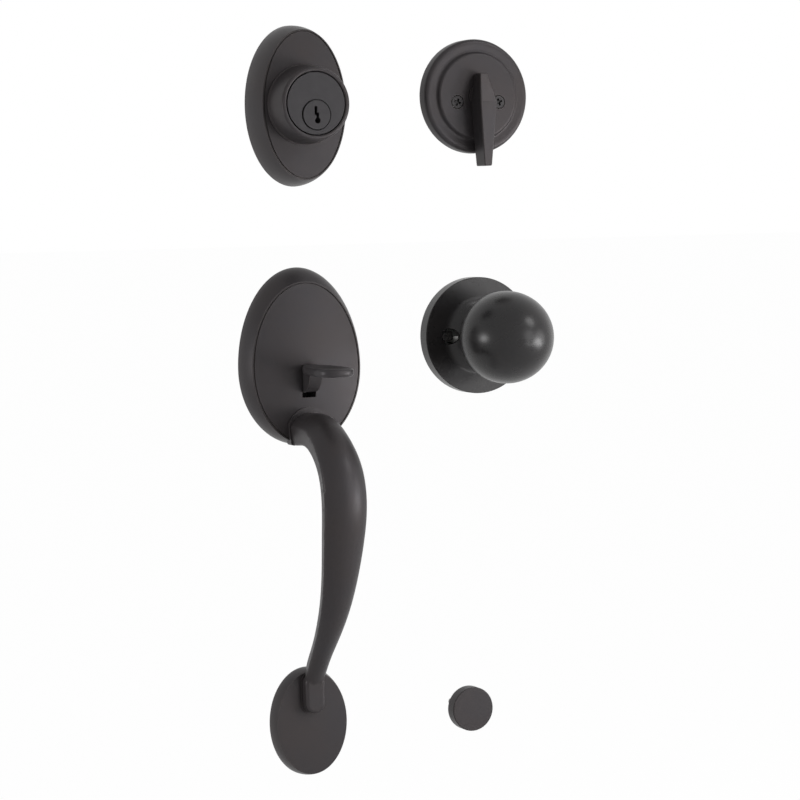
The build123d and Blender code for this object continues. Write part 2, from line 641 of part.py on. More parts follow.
def grip_section(width, thickness):
    """Section of the grip: flat back with rounded corners, short sides and a crowned front."""
    back = thickness / 2
    crease = thickness * GRIP_SIDE_SHARE - back
    corner = width / 2 - GRIP_BACK_TAPER
    rounding = min(GRIP_BACK_ROUND, thickness / 6)
    side_at_round = corner + GRIP_BACK_TAPER * rounding / (crease + back)
    with BuildSketch() as section:
        with BuildLine():
            Line((-corner + rounding, -back), (corner - rounding, -back))
            TangentArc((corner - rounding, -back), (side_at_round, -back + rounding), tangent=(1, 0))
            Line((side_at_round, -back + rounding), (width / 2, crease))
            ThreePointArc((width / 2, crease), (0, back), (-width / 2, crease))
            Line((-width / 2, crease), (-side_at_round, -back + rounding))
            TangentArc((-corner + rounding, -back), (-side_at_round, -back + rounding), tangent=(-1, 0))
        make_face()
    return section.sketch


# Outside handle: curved grip, lofted down its length and cut to sit on both plates
GRIP_ROOT_WIDTH = GRIP_STATIONS[0][2]
GRIP_ROOT_HEIGHT = GRIP_STATIONS[0][3]
FOOT_Z = FOOT_BOTTOM + FOOT_LENGTH / 2
FOOT_PAD_WIDTH = FOOT_WIDTH + 2 * FOOT_PAD_MARGIN

with BuildLine():
    grip_path = Spline(
        *((OUTSIDE_X, -out, z) for out, z, width, thickness in GRIP_STATIONS),
        tangents=((0, -1, 0), (0, 0, -1)),
    )

with BuildPart() as grip_foot:
    with BuildSketch(facing(OUTSIDE_X, FOOT_Z, LOWER_DEPTH)):
        RectangleRounded(FOOT_WIDTH, FOOT_LENGTH, FOOT_WIDTH * FOOT_END_SHARE)
    extrude(amount=FOOT_HEIGHT)
    fillet(faces().sort_by(Axis.Y)[0].edges(), radius=FOOT_EDGE)
    with BuildSketch(facing(OUTSIDE_X, FOOT_Z, LOWER_DEPTH)):
        RectangleRounded(FOOT_PAD_WIDTH, FOOT_LENGTH + 2 * FOOT_PAD_MARGIN, FOOT_PAD_WIDTH * FOOT_END_SHARE)
    extrude(amount=FOOT_PAD_HEIGHT)

with BuildPart() as grip:
    for out, z, width, thickness in GRIP_STATIONS:
        middle = (OUTSIDE_X, -out, z)
        station = Plane(origin=middle, x_dir=(1, 0, 0), z_dir=grip_path.tangent_at(middle))
        with BuildSketch(station):
            add(grip_section(width, thickness))
    loft()
    with BuildSketch(facing(OUTSIDE_X, GRIP_SCREW_Z, UPPER_DEPTH - ROOT_PAD_FOOT)):
        add(grip_section(GRIP_ROOT_WIDTH + 2 * ROOT_PAD_MARGIN, GRIP_ROOT_HEIGHT + 2 * ROOT_PAD_MARGIN))
    extrude(amount=ROOT_PAD_FOOT + ROOT_PAD_HEIGHT)
    add(grip_foot.part)
    add(upper_plate_form.part, mode=Mode.SUBTRACT)
    add(lower_plate_form.part, mode=Mode.SUBTRACT)
    with BuildSketch(facing(OUTSIDE_X, GRIP_SCREW_Z, UPPER_DEPTH)):
        with GridLocations(GRIP_SCREW_SPACING, 0, 2, 1):
            Circle(BOLT_RADIUS + RUNNING)
    extrude(amount=GRIP_SCREW_DEPTH, mode=Mode.SUBTRACT)
    with BuildSketch(facing(OUTSIDE_X, FOOT_SCREW_Z, LOWER_DEPTH)):
        Circle(BOLT_RADIUS + RUNNING)
    extrude(amount=FOOT_SCREW_DEPTH, mode=Mode.SUBTRACT)

# Outside handle: two screws that hold the grip's root
with BuildPart() as grip_screws:
    for side in (-1, 1):
        screw_x = OUTSIDE_X + side * GRIP_SCREW_SPACING / 2
        with BuildSketch(turning(screw_x, GRIP_SCREW_Z)):
            add(
                turned(
                    (
                        (0, UPPER_INSIDE - PAN_HEAD_HEIGHT),
                        (PAN_HEAD_RADIUS, UPPER_INSIDE - PAN_HEAD_HEIGHT),
                        (PAN_HEAD_RADIUS, UPPER_INSIDE),
                        (BOLT_RADIUS, UPPER_INSIDE),
                        (BOLT_RADIUS, UPPER_DEPTH + GRIP_SCREW_DEPTH - SEAT_GAP),
                        (0, UPPER_DEPTH + GRIP_SCREW_DEPTH - SEAT_GAP),
                    )
                )
            )
        revolve(axis=spin_axis(screw_x, GRIP_SCREW_Z))
        with BuildSketch(facing(screw_x, GRIP_SCREW_Z, UPPER_INSIDE - PAN_HEAD_HEIGHT)):
            add(cross_recess())
        extrude(amount=CROSS_DEPTH, mode=Mode.SUBTRACT)

# Outside handle: screw that holds the grip's foot
with BuildPart() as foot_screw:
    with BuildSketch(turning(OUTSIDE_X, FOOT_SCREW_Z)):
        add(
            turned(
                (
                    (0, LOWER_INSIDE - PAN_HEAD_HEIGHT),
                    (PAN_HEAD_RADIUS, LOWER_INSIDE - PAN_HEAD_HEIGHT),
                    (PAN_HEAD_RADIUS, LOWER_INSIDE),
                    (BOLT_RADIUS, LOWER_INSIDE),
                    (BOLT_RADIUS, LOWER_DEPTH + FOOT_SCREW_DEPTH - SEAT_GAP),
                    (0, LOWER_DEPTH + FOOT_SCREW_DEPTH - SEAT_GAP),
                )
            )
        )
    revolve(axis=spin_axis(OUTSIDE_X, FOOT_SCREW_Z))
    with BuildSketch(facing(OUTSIDE_X, FOOT_SCREW_Z, LOWER_INSIDE - PAN_HEAD_HEIGHT)):
        add(cross_recess())
    extrude(amount=CROSS_DEPTH, mode=Mode.SUBTRACT)

# Outside handle: sheet bracket behind the upper plate that carries the pivot pin
EAR_INNER = WEB_THICKNESS / 2 + SLOT_GAP
BRACKET_BACK = UPPER_INSIDE - BRACKET_SHEET

with BuildPart() as thumb_bracket:
    with BuildSketch(facing(OUTSIDE_X, (BRACKET_TOP + BRACKET_BOTTOM) / 2, BRACKET_BACK)):
        Rectangle(2 * BRACKET_HALF_WIDTH, BRACKET_TOP - BRACKET_BOTTOM)
    extrude(amount=BRACKET_SHEET)
    with BuildSketch(facing(OUTSIDE_X, (THUMB_SLOT_TOP + THUMB_SLOT_BOTTOM) / 2, BRACKET_BACK)):
        Rectangle(2 * EAR_INNER, THUMB_SLOT_TOP - THUMB_SLOT_BOTTOM + 2 * FREE_GAP)
    extrude(amount=BRACKET_SHEET, mode=Mode.SUBTRACT)
    for side in (-1, 1):
        with BuildSketch(side_plane(OUTSIDE_X + side * (EAR_INNER + BRACKET_SHEET / 2))):
            with Locations(((EAR_BACK + BRACKET_BACK) / 2, (EAR_TOP + EAR_BOTTOM) / 2)):
                Rectangle(BRACKET_BACK - EAR_BACK, EAR_TOP - EAR_BOTTOM)
            with Locations((PIVOT_OUT, PIVOT_Z)):
                Circle(PIVOT_RADIUS + RUNNING / 2, mode=Mode.SUBTRACT)
        extrude(amount=BRACKET_SHEET / 2, both=True)
    with BuildSketch(facing(OUTSIDE_X, (BRACKET_FLOOR_TOP + EAR_BOTTOM) / 2, EAR_BACK)):
        Rectangle(2 * EAR_INNER, BRACKET_FLOOR_TOP - EAR_BOTTOM)
    extrude(amount=BRACKET_SHEET)
    with BuildSketch(side_plane(OUTSIDE_X)):
        with Locations(((BRACKET_BACK - SHELF_REACH) / 2, BRACKET_TOP - BRACKET_SHEET / 2)):
            Rectangle(BRACKET_BACK + SHELF_REACH, BRACKET_SHEET)
    extrude(amount=EAR_INNER + BRACKET_SHEET, both=True)

# Outside handle: pivot pin
with BuildPart() as thumb_pivot_pin:
    with BuildSketch(side_plane(OUTSIDE_X)):
        with Locations((PIVOT_OUT, PIVOT_Z)):
            Circle(PIVOT_RADIUS)
    extrude(amount=EAR_INNER + 2 * BRACKET_SHEET, both=True)
    chamfer(edges().filter_by(GeomType.CIRCLE), length=PIVOT_RADIUS / 5)

# Outside handle: thumbpiece with its paddle, web and tail
PADDLE_LENGTH = PADDLE_END - PADDLE_START
PADDLE_UNDER_Z = PADDLE_TOP_Z - PADDLE_THICKNESS / 2
PADDLE_PLANE = Plane(
    origin=(OUTSIDE_X, -PADDLE_START, PADDLE_TOP_Z),
    x_dir=(1, 0, 0),
    z_dir=(0, -sin(radians(PADDLE_TILT)), cos(radians(PADDLE_TILT))),
)

with BuildPart() as paddle:
    with BuildSketch(PADDLE_PLANE):
        with BuildLine():
            for side in (-1, 1):
                Spline(
                    (side * PADDLE_NECK / 2, 0),
                    (side * PADDLE_WIDTH / 2, -PADDLE_LENGTH * PADDLE_WIDEST),
                    (0, -PADDLE_LENGTH),
                    tangents=((side, -2), (-side, 0)),
                )
            Line((-PADDLE_NECK / 2, 0), (PADDLE_NECK / 2, 0))
        make_face()
    extrude(amount=-PADDLE_THICKNESS)
    rim = edges().filter_by(Axis.X, reverse=True).group_by(SortBy.LENGTH)[-1]
    fillet(rim, radius=PADDLE_EDGE)
    with Locations(PADDLE_PLANE * Pos(0, -PADDLE_LENGTH * PADDLE_WIDEST, PADDLE_DISH_RADIUS - PADDLE_DISH)):
        Sphere(PADDLE_DISH_RADIUS, mode=Mode.SUBTRACT)

with BuildPart() as thumbpiece:
    with BuildSketch(side_plane(OUTSIDE_X)):
        with BuildLine():
            ThreePointArc((WEB_FRONT_OUT, PADDLE_UNDER_Z), WEB_HEEL, (WEB_ROOT_OUT, WEB_BOTTOM_Z))
            Polyline(
                (WEB_ROOT_OUT, WEB_BOTTOM_Z),
                (UPPER_INSIDE, WEB_BOTTOM_Z),
                (PIVOT_OUT, PIVOT_Z - HUB_RADIUS),
                (PIVOT_OUT, PIVOT_Z + HUB_RADIUS),
                (PADDLE_START, THUMB_SLOT_TOP - SLOT_GAP),
                (WEB_FRONT_OUT, PADDLE_UNDER_Z),
            )
        make_face()
        with Locations((PIVOT_OUT, PIVOT_Z)):
            Circle(HUB_RADIUS)
        with BuildLine():
            Polyline(
                (PIVOT_OUT, PIVOT_Z + HUB_RADIUS / 2),
                (-TAIL_REACH, PIVOT_Z + TAIL_RISE + TAIL_HEIGHT / 2),
                (-TAIL_REACH, PIVOT_Z + TAIL_RISE - TAIL_HEIGHT / 2),
                (PIVOT_OUT, PIVOT_Z - HUB_RADIUS / 2),
                close=True,
            )
        make_face()
    extrude(amount=WEB_THICKNESS / 2, both=True)
    add(paddle.part)
    with BuildSketch(side_plane(OUTSIDE_X)):
        with Locations((PIVOT_OUT, PIVOT_Z)):
            Circle(PIVOT_RADIUS + RUNNING)
    extrude(amount=WEB_THICKNESS, both=True, mode=Mode.SUBTRACT)

# Outside handle: return spring between the thumbpiece's tail and the bracket's shelf
TAIL_TOP_AT_SPRING = (
    PIVOT_Z
    + HUB_RADIUS / 2
    + (TAIL_RISE + TAIL_HEIGHT / 2 - HUB_RADIUS / 2)
    * (PIVOT_OUT + THUMB_SPRING_BACK)
    / (PIVOT_OUT + TAIL_REACH)
)
SPRING_BOTTOM = TAIL_TOP_AT_SPRING + THUMB_SPRING_WIRE + FREE_GAP
SPRING_TOP = BRACKET_TOP - BRACKET_SHEET - THUMB_SPRING_WIRE / 2 - SEAT_GAP

with BuildPart() as thumb_spring:
    with BuildLine():
        coil = Helix(
            pitch=(SPRING_TOP - SPRING_BOTTOM) / THUMB_SPRING_TURNS,
            height=SPRING_TOP - SPRING_BOTTOM,
            radius=THUMB_SPRING_RADIUS,
            center=(OUTSIDE_X, THUMB_SPRING_BACK, SPRING_BOTTOM),
        )
    with BuildSketch(Plane(origin=coil @ 0, z_dir=coil % 0)):
        Circle(THUMB_SPRING_WIRE / 2)
    sweep()

# Inside knob: rose with a raised neck and two screw wells
ROSE_INNER = ROSE_RADIUS - ROSE_WALL
ROSE_SWEEP = ROSE_NECK_HEIGHT - ROSE_DISH_HEIGHT
ROSE_DISH_RADIUS = ROSE_NECK_RADIUS + ROSE_SWEEP

with BuildPart() as knob_rose:
    with BuildSketch(turning(KNOB_X, KNOB_Z)):
        with BuildLine():
            Polyline(
                (ROSE_DISH_RADIUS, ROSE_DISH_HEIGHT - ROSE_WALL),
                (ROSE_INNER, ROSE_SIDE - ROSE_WALL),
                (ROSE_INNER, 0),
                (ROSE_RADIUS, 0),
                (ROSE_RADIUS, ROSE_SIDE),
                (ROSE_RADIUS - ROSE_BEVEL, ROSE_SIDE + ROSE_BEVEL),
                (ROSE_DISH_RADIUS, ROSE_DISH_HEIGHT),
            )
            CenterArc((ROSE_DISH_RADIUS, ROSE_NECK_HEIGHT), ROSE_SWEEP, 180, 90)
            Line((ROSE_NECK_RADIUS, ROSE_NECK_HEIGHT), (ROSE_NECK_RADIUS - ROSE_WALL, ROSE_NECK_HEIGHT))
            CenterArc((ROSE_DISH_RADIUS, ROSE_NECK_HEIGHT), ROSE_SWEEP + ROSE_WALL, 180, 90)
        make_face()
    revolve(axis=spin_axis(KNOB_X, KNOB_Z))
    with BuildSketch(facing(KNOB_X, KNOB_Z)):
        with GridLocations(LATCH_BOLT_SPACING, 0, 2, 1):
            Circle(ROSE_SCREW_WELL)
    extrude(amount=ROSE_NECK_HEIGHT, mode=Mode.SUBTRACT)

# Inside knob: liner plate with the bearing barrel
with BuildPart() as rose_liner:
    with BuildSketch(facing(KNOB_X, KNOB_Z)):
        Circle(ROSE_INNER - FREE_GAP)
    extrude(amount=LINER_THICKNESS)
    with BuildSketch(facing(KNOB_X, KNOB_Z, LINER_THICKNESS)):
        Circle(BARREL_RADIUS)
    extrude(amount=BARREL_HEIGHT)
    with BuildSketch(facing(KNOB_X, KNOB_Z)):
        Circle(SHANK_RADIUS + RUNNING)
    extrude(amount=LINER_THICKNESS + BARREL_HEIGHT, mode=Mode.SUBTRACT)
    with BuildSketch(facing(KNOB_X, KNOB_Z)):
        with GridLocations(LATCH_BOLT_SPACING, 0, 2, 1):
            Circle(SHOULDER_HOLE_RADIUS)
    extrude(amount=LINER_THICKNESS, mode=Mode.SUBTRACT)

# Inside knob: hollow ball knob with its shank
KNOB_BACK = ROSE_NECK_HEIGHT + SEAT_GAP
SHANK_TAIL = SEAT_GAP + 2 * CLIP_THICKNESS
SHANK_BORE = SPINDLE_SIDE / 2**0.5 + RUNNING
KNOB_NOSE_ROUND = KNOB_RADIUS * KNOB_NOSE_SHARE
NOSE_RISE = KNOB_NOSE - KNOB_NOSE_ROUND
NOSE_SHRINK = KNOB_RADIUS - KNOB_NOSE_ROUND
KNOB_SIDE_ROUND = (NOSE_RISE**2 + KNOB_RADIUS**2 - KNOB_NOSE_ROUND**2) / (2 * NOSE_SHRINK)
KNOB_LEAN = degrees(atan2(NOSE_RISE, KNOB_SIDE_ROUND - KNOB_RADIUS))


def ball_profile(wall):
    """Half outline of the ball at a depth inside its surface: round tail, slower side and rounder nose."""
    nose_middle = KNOB_MIDDLE + KNOB_NOSE - KNOB_NOSE_ROUND
    side_middle = KNOB_RADIUS - KNOB_SIDE_ROUND
    with BuildSketch() as profile:
        with BuildLine():
            CenterArc((0, KNOB_MIDDLE), KNOB_RADIUS - wall, -90, 90)
            CenterArc((side_middle, KNOB_MIDDLE), KNOB_SIDE_ROUND - wall, 0, KNOB_LEAN)
            CenterArc((0, nose_middle), KNOB_NOSE_ROUND - wall, KNOB_LEAN, 90 - KNOB_LEAN)
            Line((0, KNOB_MIDDLE + KNOB_NOSE - wall), (0, KNOB_MIDDLE - KNOB_RADIUS + wall))
        make_face()
    return profile.sketch


with BuildPart() as knob:
    with BuildSketch(turning(KNOB_X, KNOB_Z)):
        add(ball_profile(0))
    revolve(axis=spin_axis(KNOB_X, KNOB_Z))
    with BuildSketch(facing(KNOB_X, KNOB_Z, KNOB_BACK)):
        Circle(KNOB_NECK_RADIUS)
    extrude(amount=KNOB_MIDDLE - KNOB_BACK)
    with BuildSketch(facing(KNOB_X, KNOB_Z, -SHANK_TAIL)):
        Circle(SHANK_RADIUS)
    extrude(amount=SHANK_TAIL + KNOB_MIDDLE)
    with BuildSketch(turning(KNOB_X, KNOB_Z)):
        add(ball_profile(KNOB_WALL))
    revolve(axis=spin_axis(KNOB_X, KNOB_Z), mode=Mode.SUBTRACT)
    with BuildSketch(facing(KNOB_X, KNOB_Z, -SHANK_TAIL)):
        Circle(SHANK_BORE)
    extrude(amount=SHANK_TAIL + KNOB_MIDDLE, mode=Mode.SUBTRACT)
    with BuildSketch(facing(KNOB_X, KNOB_Z, -SEAT_GAP)):
        Circle(SHANK_RADIUS)
        Circle(SHANK_RADIUS - CLIP_GROOVE_DEPTH, mode=Mode.SUBTRACT)
    extrude(amount=-CLIP_THICKNESS, mode=Mode.SUBTRACT)

# Inside knob: snap ring on the shank behind the liner
with BuildPart() as knob_clip:
    with BuildSketch(facing(KNOB_X, KNOB_Z, -SEAT_GAP)):
        Circle(SHANK_RADIUS - CLIP_GROOVE_DEPTH + RUNNING + CLIP_BAND)
        Circle(SHANK_RADIUS - CLIP_GROOVE_DEPTH + RUNNING, mode=Mode.SUBTRACT)
        with Locations((0, SHANK_RADIUS)):
            Rectangle(2 * CLIP_BAND, 2 * CLIP_BAND, mode=Mode.SUBTRACT)
    extrude(amount=-(CLIP_THICKNESS - RUNNING))

# Inside knob: square spindle that works the latch
with BuildPart() as knob_spindle:
    with BuildSketch(facing(KNOB_X, KNOB_Z, KNOB_MIDDLE - SPINDLE_SOCKET)):
        Rectangle(SPINDLE_SIDE, SPINDLE_SIDE)
    extrude(amount=-(KNOB_MIDDLE - SPINDLE_SOCKET + SPINDLE_REACH))
    chamfer(faces().sort_by(Axis.Y)[-1].edges(), length=SPINDLE_SIDE / 8)

# Inside knob: torsion spring round the barrel
KNOB_SPRING_RADIUS = BARREL_RADIUS + FREE_GAP + KNOB_SPRING_WIRE / 2
KNOB_SPRING_PITCH = KNOB_SPRING_WIRE + FREE_GAP
KNOB_SPRING_START = LINER_THICKNESS + KNOB_SPRING_WIRE / 2 + FREE_GAP

with BuildPart() as knob_return_spring:
    with BuildLine():
        knob_coil = Helix(
            pitch=KNOB_SPRING_PITCH,
            height=KNOB_SPRING_PITCH * KNOB_SPRING_TURNS,
            radius=KNOB_SPRING_RADIUS,
            center=(KNOB_X, -KNOB_SPRING_START, KNOB_Z),
            direction=(0, -1, 0),
        )
    with BuildSketch(Plane(origin=knob_coil @ 0, z_dir=knob_coil % 0)):
        Circle(KNOB_SPRING_WIRE / 2)
    sweep()

# Inside knob: two through-bolts whose heads stand in the screw wells
with BuildPart() as knob_bolts:
    for side in (-1, 1):
        screw_x = KNOB_X + side * LATCH_BOLT_SPACING / 2
        with BuildSketch(turning(screw_x, KNOB_Z)):
            add(
                turned(
                    (
                        (0, LINER_THICKNESS + BOLT_HEAD_HEIGHT),
                        (BOLT_HEAD_RADIUS, LINER_THICKNESS + BOLT_HEAD_HEIGHT),
                        (BOLT_HEAD_RADIUS, LINER_THICKNESS),
                        (SHOULDER_RADIUS, LINER_THICKNESS),
                        (SHOULDER_RADIUS, -SHOULDER_PAST_DOOR),
                        (BOLT_RADIUS, -SHOULDER_PAST_DOOR),
                        (BOLT_RADIUS, -KNOB_BOLT_REACH),
                        (0, -KNOB_BOLT_REACH),
                    )
                )
            )
        revolve(axis=spin_axis(screw_x, KNOB_Z))
        with BuildSketch(facing(screw_x, KNOB_Z, LINER_THICKNESS + BOLT_HEAD_HEIGHT)):
            add(cross_recess(), rotation=side * 35)
        extrude(amount=-CROSS_DEPTH, mode=Mode.SUBTRACT)

# Lower through-bolt: base ring that holds the cap
CAP_BORE = CAP_RADIUS - CAP_WALL

with BuildPart() as cap_base:
    with BuildSketch(facing(CAP_X, CAP_Z)):
        Circle(CAP_BORE - SEAT_GAP)
        Circle(SHOULDER_HOLE_RADIUS, mode=Mode.SUBTRACT)
    extrude(amount=CAP_BASE_THICKNESS)

# Lower through-bolt: the bolt
with BuildPart() as lower_bolt:
    with BuildSketch(turning(CAP_X, CAP_Z)):
        add(
            turned(
                (
                    (0, CAP_BASE_THICKNESS + CAP_BOLT_HEAD_HEIGHT),
                    (CAP_BOLT_HEAD_RADIUS, CAP_BASE_THICKNESS + CAP_BOLT_HEAD_HEIGHT),
                    (CAP_BOLT_HEAD_RADIUS, CAP_BASE_THICKNESS),
                    (SHOULDER_RADIUS, CAP_BASE_THICKNESS),
                    (SHOULDER_RADIUS, -SHOULDER_PAST_DOOR),
                    (BOLT_RADIUS, -SHOULDER_PAST_DOOR),
                    (BOLT_RADIUS, -CAP_BOLT_REACH),
                    (0, -CAP_BOLT_REACH),
                )
            )
        )
    revolve(axis=spin_axis(CAP_X, CAP_Z))
    fillet(faces().sort_by(Axis.Y)[0].edges(), radius=CAP_BOLT_HEAD_HEIGHT / 3)
    with BuildSketch(facing(CAP_X, CAP_Z, CAP_BASE_THICKNESS + CAP_BOLT_HEAD_HEIGHT)):
        add(cross_recess())
    extrude(amount=-CROSS_DEPTH, mode=Mode.SUBTRACT)

# Lower through-bolt: round push-on cap
with BuildPart() as bolt_cap:
    with BuildSketch(facing(CAP_X, CAP_Z)):
        Circle(CAP_RADIUS)
    extrude(amount=CAP_DEPTH)
    fillet(faces().sort_by(Axis.Y)[0].edges(), radius=CAP_ROUND)
    with BuildSketch(facing(CAP_X, CAP_Z)):
        Circle(CAP_BORE)
    extrude(amount=CAP_DEPTH - CAP_WALL, mode=Mode.SUBTRACT)

PIECES = {
    "deadbolt_oval_rosette": deadbolt_oval_rosette,
    "cylinder_collar": cylinder_collar,
    "cylinder_body": cylinder_body,
    "key_plug": key_plug,
    "plug_retainer": plug_retainer,
    "deadbolt_tailpiece": deadbolt_tailpiece,
    "turn_rosette": turn_rosette,
    "turn_backplate": turn_backplate,
    "turn_bush": turn_bush,
    "thumbturn": thumbturn,
    "turn_clip": turn_clip,
    "turn_screws": turn_screws,
    "upper_plate": upper_plate,
    "mounting_posts": mounting_posts,
    "lower_plate": lower_plate,
    "lower_post": lower_post,
    "grip": grip,
    "grip_screws": grip_screws,
    "foot_screw": foot_screw,
    "thumb_bracket": thumb_bracket,
    "thumb_pivot_pin": thumb_pivot_pin,
    "thumbpiece": thumbpiece,
    "thumb_spring": thumb_spring,
    "knob_rose": knob_rose,
    "rose_liner": rose_liner,
    "knob": knob,
    "knob_clip": knob_clip,
    "knob_spindle": knob_spindle,
    "knob_return_spring": knob_return_spring,
    "knob_bolts": knob_bolts,
    "cap_base": cap_base,
    "lower_bolt": lower_bolt,
    "bolt_cap": bolt_cap,
}

for node, piece in PIECES.items():
    piece.part.label = node
    export_step(piece.part, f"parts/{node}.step")
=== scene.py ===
"""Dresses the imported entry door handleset: its plates, grip, thumbpiece, knob, thumbturn and
cylinder in satin dark bronze, on a plain pale floor in soft studio light.

The row frame is +X right, +Y into the door and +Z up, with its origin at the outside latch axis.
Pieces are given in mm, a place as its X and Z, and "out" is the distance in front of the door's
face. Camera, floor and lamps are given in metres and degrees.
"""

import math

import bmesh
import bpy
from mathutils import Matrix, Vector


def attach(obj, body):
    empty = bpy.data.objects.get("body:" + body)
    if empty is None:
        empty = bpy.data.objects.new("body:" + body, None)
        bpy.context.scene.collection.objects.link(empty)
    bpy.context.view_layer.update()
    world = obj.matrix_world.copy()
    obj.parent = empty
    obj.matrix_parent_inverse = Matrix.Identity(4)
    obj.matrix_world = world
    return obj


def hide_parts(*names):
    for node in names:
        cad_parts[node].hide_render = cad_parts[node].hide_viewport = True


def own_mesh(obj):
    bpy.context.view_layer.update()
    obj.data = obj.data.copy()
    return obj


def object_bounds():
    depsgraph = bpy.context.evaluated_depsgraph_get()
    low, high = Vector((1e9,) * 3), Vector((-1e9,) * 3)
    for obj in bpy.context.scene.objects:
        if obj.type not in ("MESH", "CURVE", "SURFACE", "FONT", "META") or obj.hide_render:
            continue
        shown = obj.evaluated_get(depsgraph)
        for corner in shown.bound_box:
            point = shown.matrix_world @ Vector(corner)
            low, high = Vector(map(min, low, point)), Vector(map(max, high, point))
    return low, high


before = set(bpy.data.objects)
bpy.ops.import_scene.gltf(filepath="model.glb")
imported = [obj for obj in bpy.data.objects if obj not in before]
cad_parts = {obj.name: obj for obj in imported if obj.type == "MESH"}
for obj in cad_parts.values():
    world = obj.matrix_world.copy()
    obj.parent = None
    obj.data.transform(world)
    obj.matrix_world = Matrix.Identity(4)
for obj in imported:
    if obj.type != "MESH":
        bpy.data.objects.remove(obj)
cad_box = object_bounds()

MM = 0.001

# Bodies of the frame
FIXED = "fixed_pieces"
PLUG = "plug_group"
TURNPIECE = "thumbturn_group"
THUMB = "thumbpiece_group"
KNOB = "knob_group"

# Places of the sets
DEADBOLT = (0.0, 139.7)
INSIDE_DEADBOLT = (114.2, 144.9)
UPPER = (0.0, -9.5)
LOWER = (0.0, -215.6)
KNOB_AXIS = (112.4, 4.5)
CAP = (104.0, -218.0)

# Points round a piece, and round a cutter
ROUND_POINTS = 128
FINE_ROUND_POINTS = 160
HOLE_POINTS = 48
WIDE_HOLE_POINTS = 96

# Differences too small to count: a height in metres, a ratio, a gap in metres, a bend in degrees
SAME_HEIGHT = 1e-7
SAME_RATIO = 1e-9
SAME_PLACE = 1e-6
FLAT_BEND = 0.1

# Oval plates: the wall's bulge, the line round the face and the rings up its crown
WALL_STEPS = 7
WALL_SLOPE = 0.192
WALL_BULGE = 0.808
INNER_CORNER = 0.6
LINE_MARGIN = 0.7
LINE_WIDTH = 0.7
LINE_DEPTH = 0.8
FACE_RINGS = (0.94, 0.88, 0.8, 0.7, 0.6, 0.5, 0.4, 0.3, 0.2, 0.1, 0.03)

# Outside deadbolt: the plate, the collar, and the gap round the key plug with its cutter's spare
DEADBOLT_PLATE_BASE = (28.85, 45.85, 45.85)
DEADBOLT_PLATE_INSET = 3.35
DEADBOLT_PLATE_OPENING = 17.7
COLLAR_PROFILE = (
    (20.0, 17.8),
    (19.6, 22.9),
    (20.9, 22.9),
    (20.9, 22.4),
    (28.5, 21.5),
    (35.4, 20.6),
    (36.1, 20.25),
    (36.5, 19.7),
    (36.6, 19.0),
    (36.5, 18.4),
    (36.1, 18.0),
    (35.2, 17.8),
)
PLUG_PLACE = (0.0, 133.3)
PLUG_GAP_RADIUS = 8.85
PLUG_GAP_DEPTH = 1.1
PLUG_GAP_SPARE = 2

# Inside deadbolt: the stepped rosette and its screws
TURN_ROSETTE_PROFILE = (
    (8.6, 6.3),
    (8.6, 22.8),
    (6.8, 24.2),
    (6.8, 30.6),
    (5.6, 31.9),
    (0.0, 31.95),
    (0.0, 33.35),
    (5.9, 33.35),
    (7.1, 32.95),
    (7.85, 32.2),
    (8.2, 31.1),
    (8.15, 29.8),
    (7.9, 27.6),
    (7.85, 26.4),
    (8.1, 25.8),
    (8.8, 25.4),
    (9.5, 25.0),
    (9.85, 24.5),
    (10.0, 23.8),
    (10.0, 6.3),
)
TURN_SCREWS_PLACE = (INSIDE_DEADBOLT[0], INSIDE_DEADBOLT[1] - 3.5)
TURN_SCREWS_OFFSET = 13.5
TURN_SCREW_SEAT_RADIUS = 4.0

# Handle: the slot and the screw holes in its plates
THUMB_SLOT_PLACE = (0, -17.25)
THUMB_SLOT_SIZE = (8.4, 18.5)
GRIP_SCREWS_PLACE = (0, -42.8)
GRIP_SCREWS_OFFSET = 5.5
FOOT_SCREW_PLACE = (0, -197.0)
SCREW_HOLE_RADIUS = 2.3

# Ball knob: three arcs that run into each other, on a shank with a groove for its clip
KNOB_RADIUS = 26.8
KNOB_WIDEST = 44.0
KNOB_TOP = 75.0
KNOB_NOSE_SHARE = 0.888
KNOB_NOSE_ROUND = KNOB_RADIUS * KNOB_NOSE_SHARE
KNOB_NOSE_RISE = KNOB_TOP - KNOB_WIDEST - KNOB_NOSE_ROUND
KNOB_SIDE_ROUND = (KNOB_NOSE_RISE**2 + KNOB_RADIUS**2 - KNOB_NOSE_ROUND**2) / (
    2 * (KNOB_RADIUS - KNOB_NOSE_ROUND)
)
KNOB_LEAN = math.atan2(KNOB_NOSE_RISE, KNOB_SIDE_ROUND - KNOB_RADIUS)
KNOB_STEPS = 44
KNOB_NECK_RADIUS = 11.4
KNOB_SHANK_PROFILE = (
    (6.0, 5.64),
    (-1.9, 5.64),
    (-1.9, 8.9),
    (-1.0, 8.9),
    (-1.0, 8.0),
    (-0.1, 8.0),
    (-0.1, 8.9),
    (18.1, 8.9),
    (18.1, KNOB_NECK_RADIUS),
)
KNOB_TIP = (KNOB_TOP - 0.004, 0.45)

# Knob rose: its upright side, the quarter arc up to its neck and its screw wells
ROSE_SIDE_PROFILE = ((6.4, 32.8), (0.0, 32.8), (0.0, 34.3), (7.9, 34.3), (8.25, 33.95))
ROSE_ARC_CENTRE = (18.0, 23.1)
ROSE_ARC_RADIUS = 10.5
ROSE_ARC_STEPS = 18
ROSE_WALL = 1.5
ROSE_WELLS_OFFSET = 19.05
ROSE_WELL_RADIUS = 4.8

# Bolt cap
BOLT_CAP_PROFILE = ((6.7, 11.8), (0.0, 11.8), (0.0, 13.1), (8.0, 13.1))

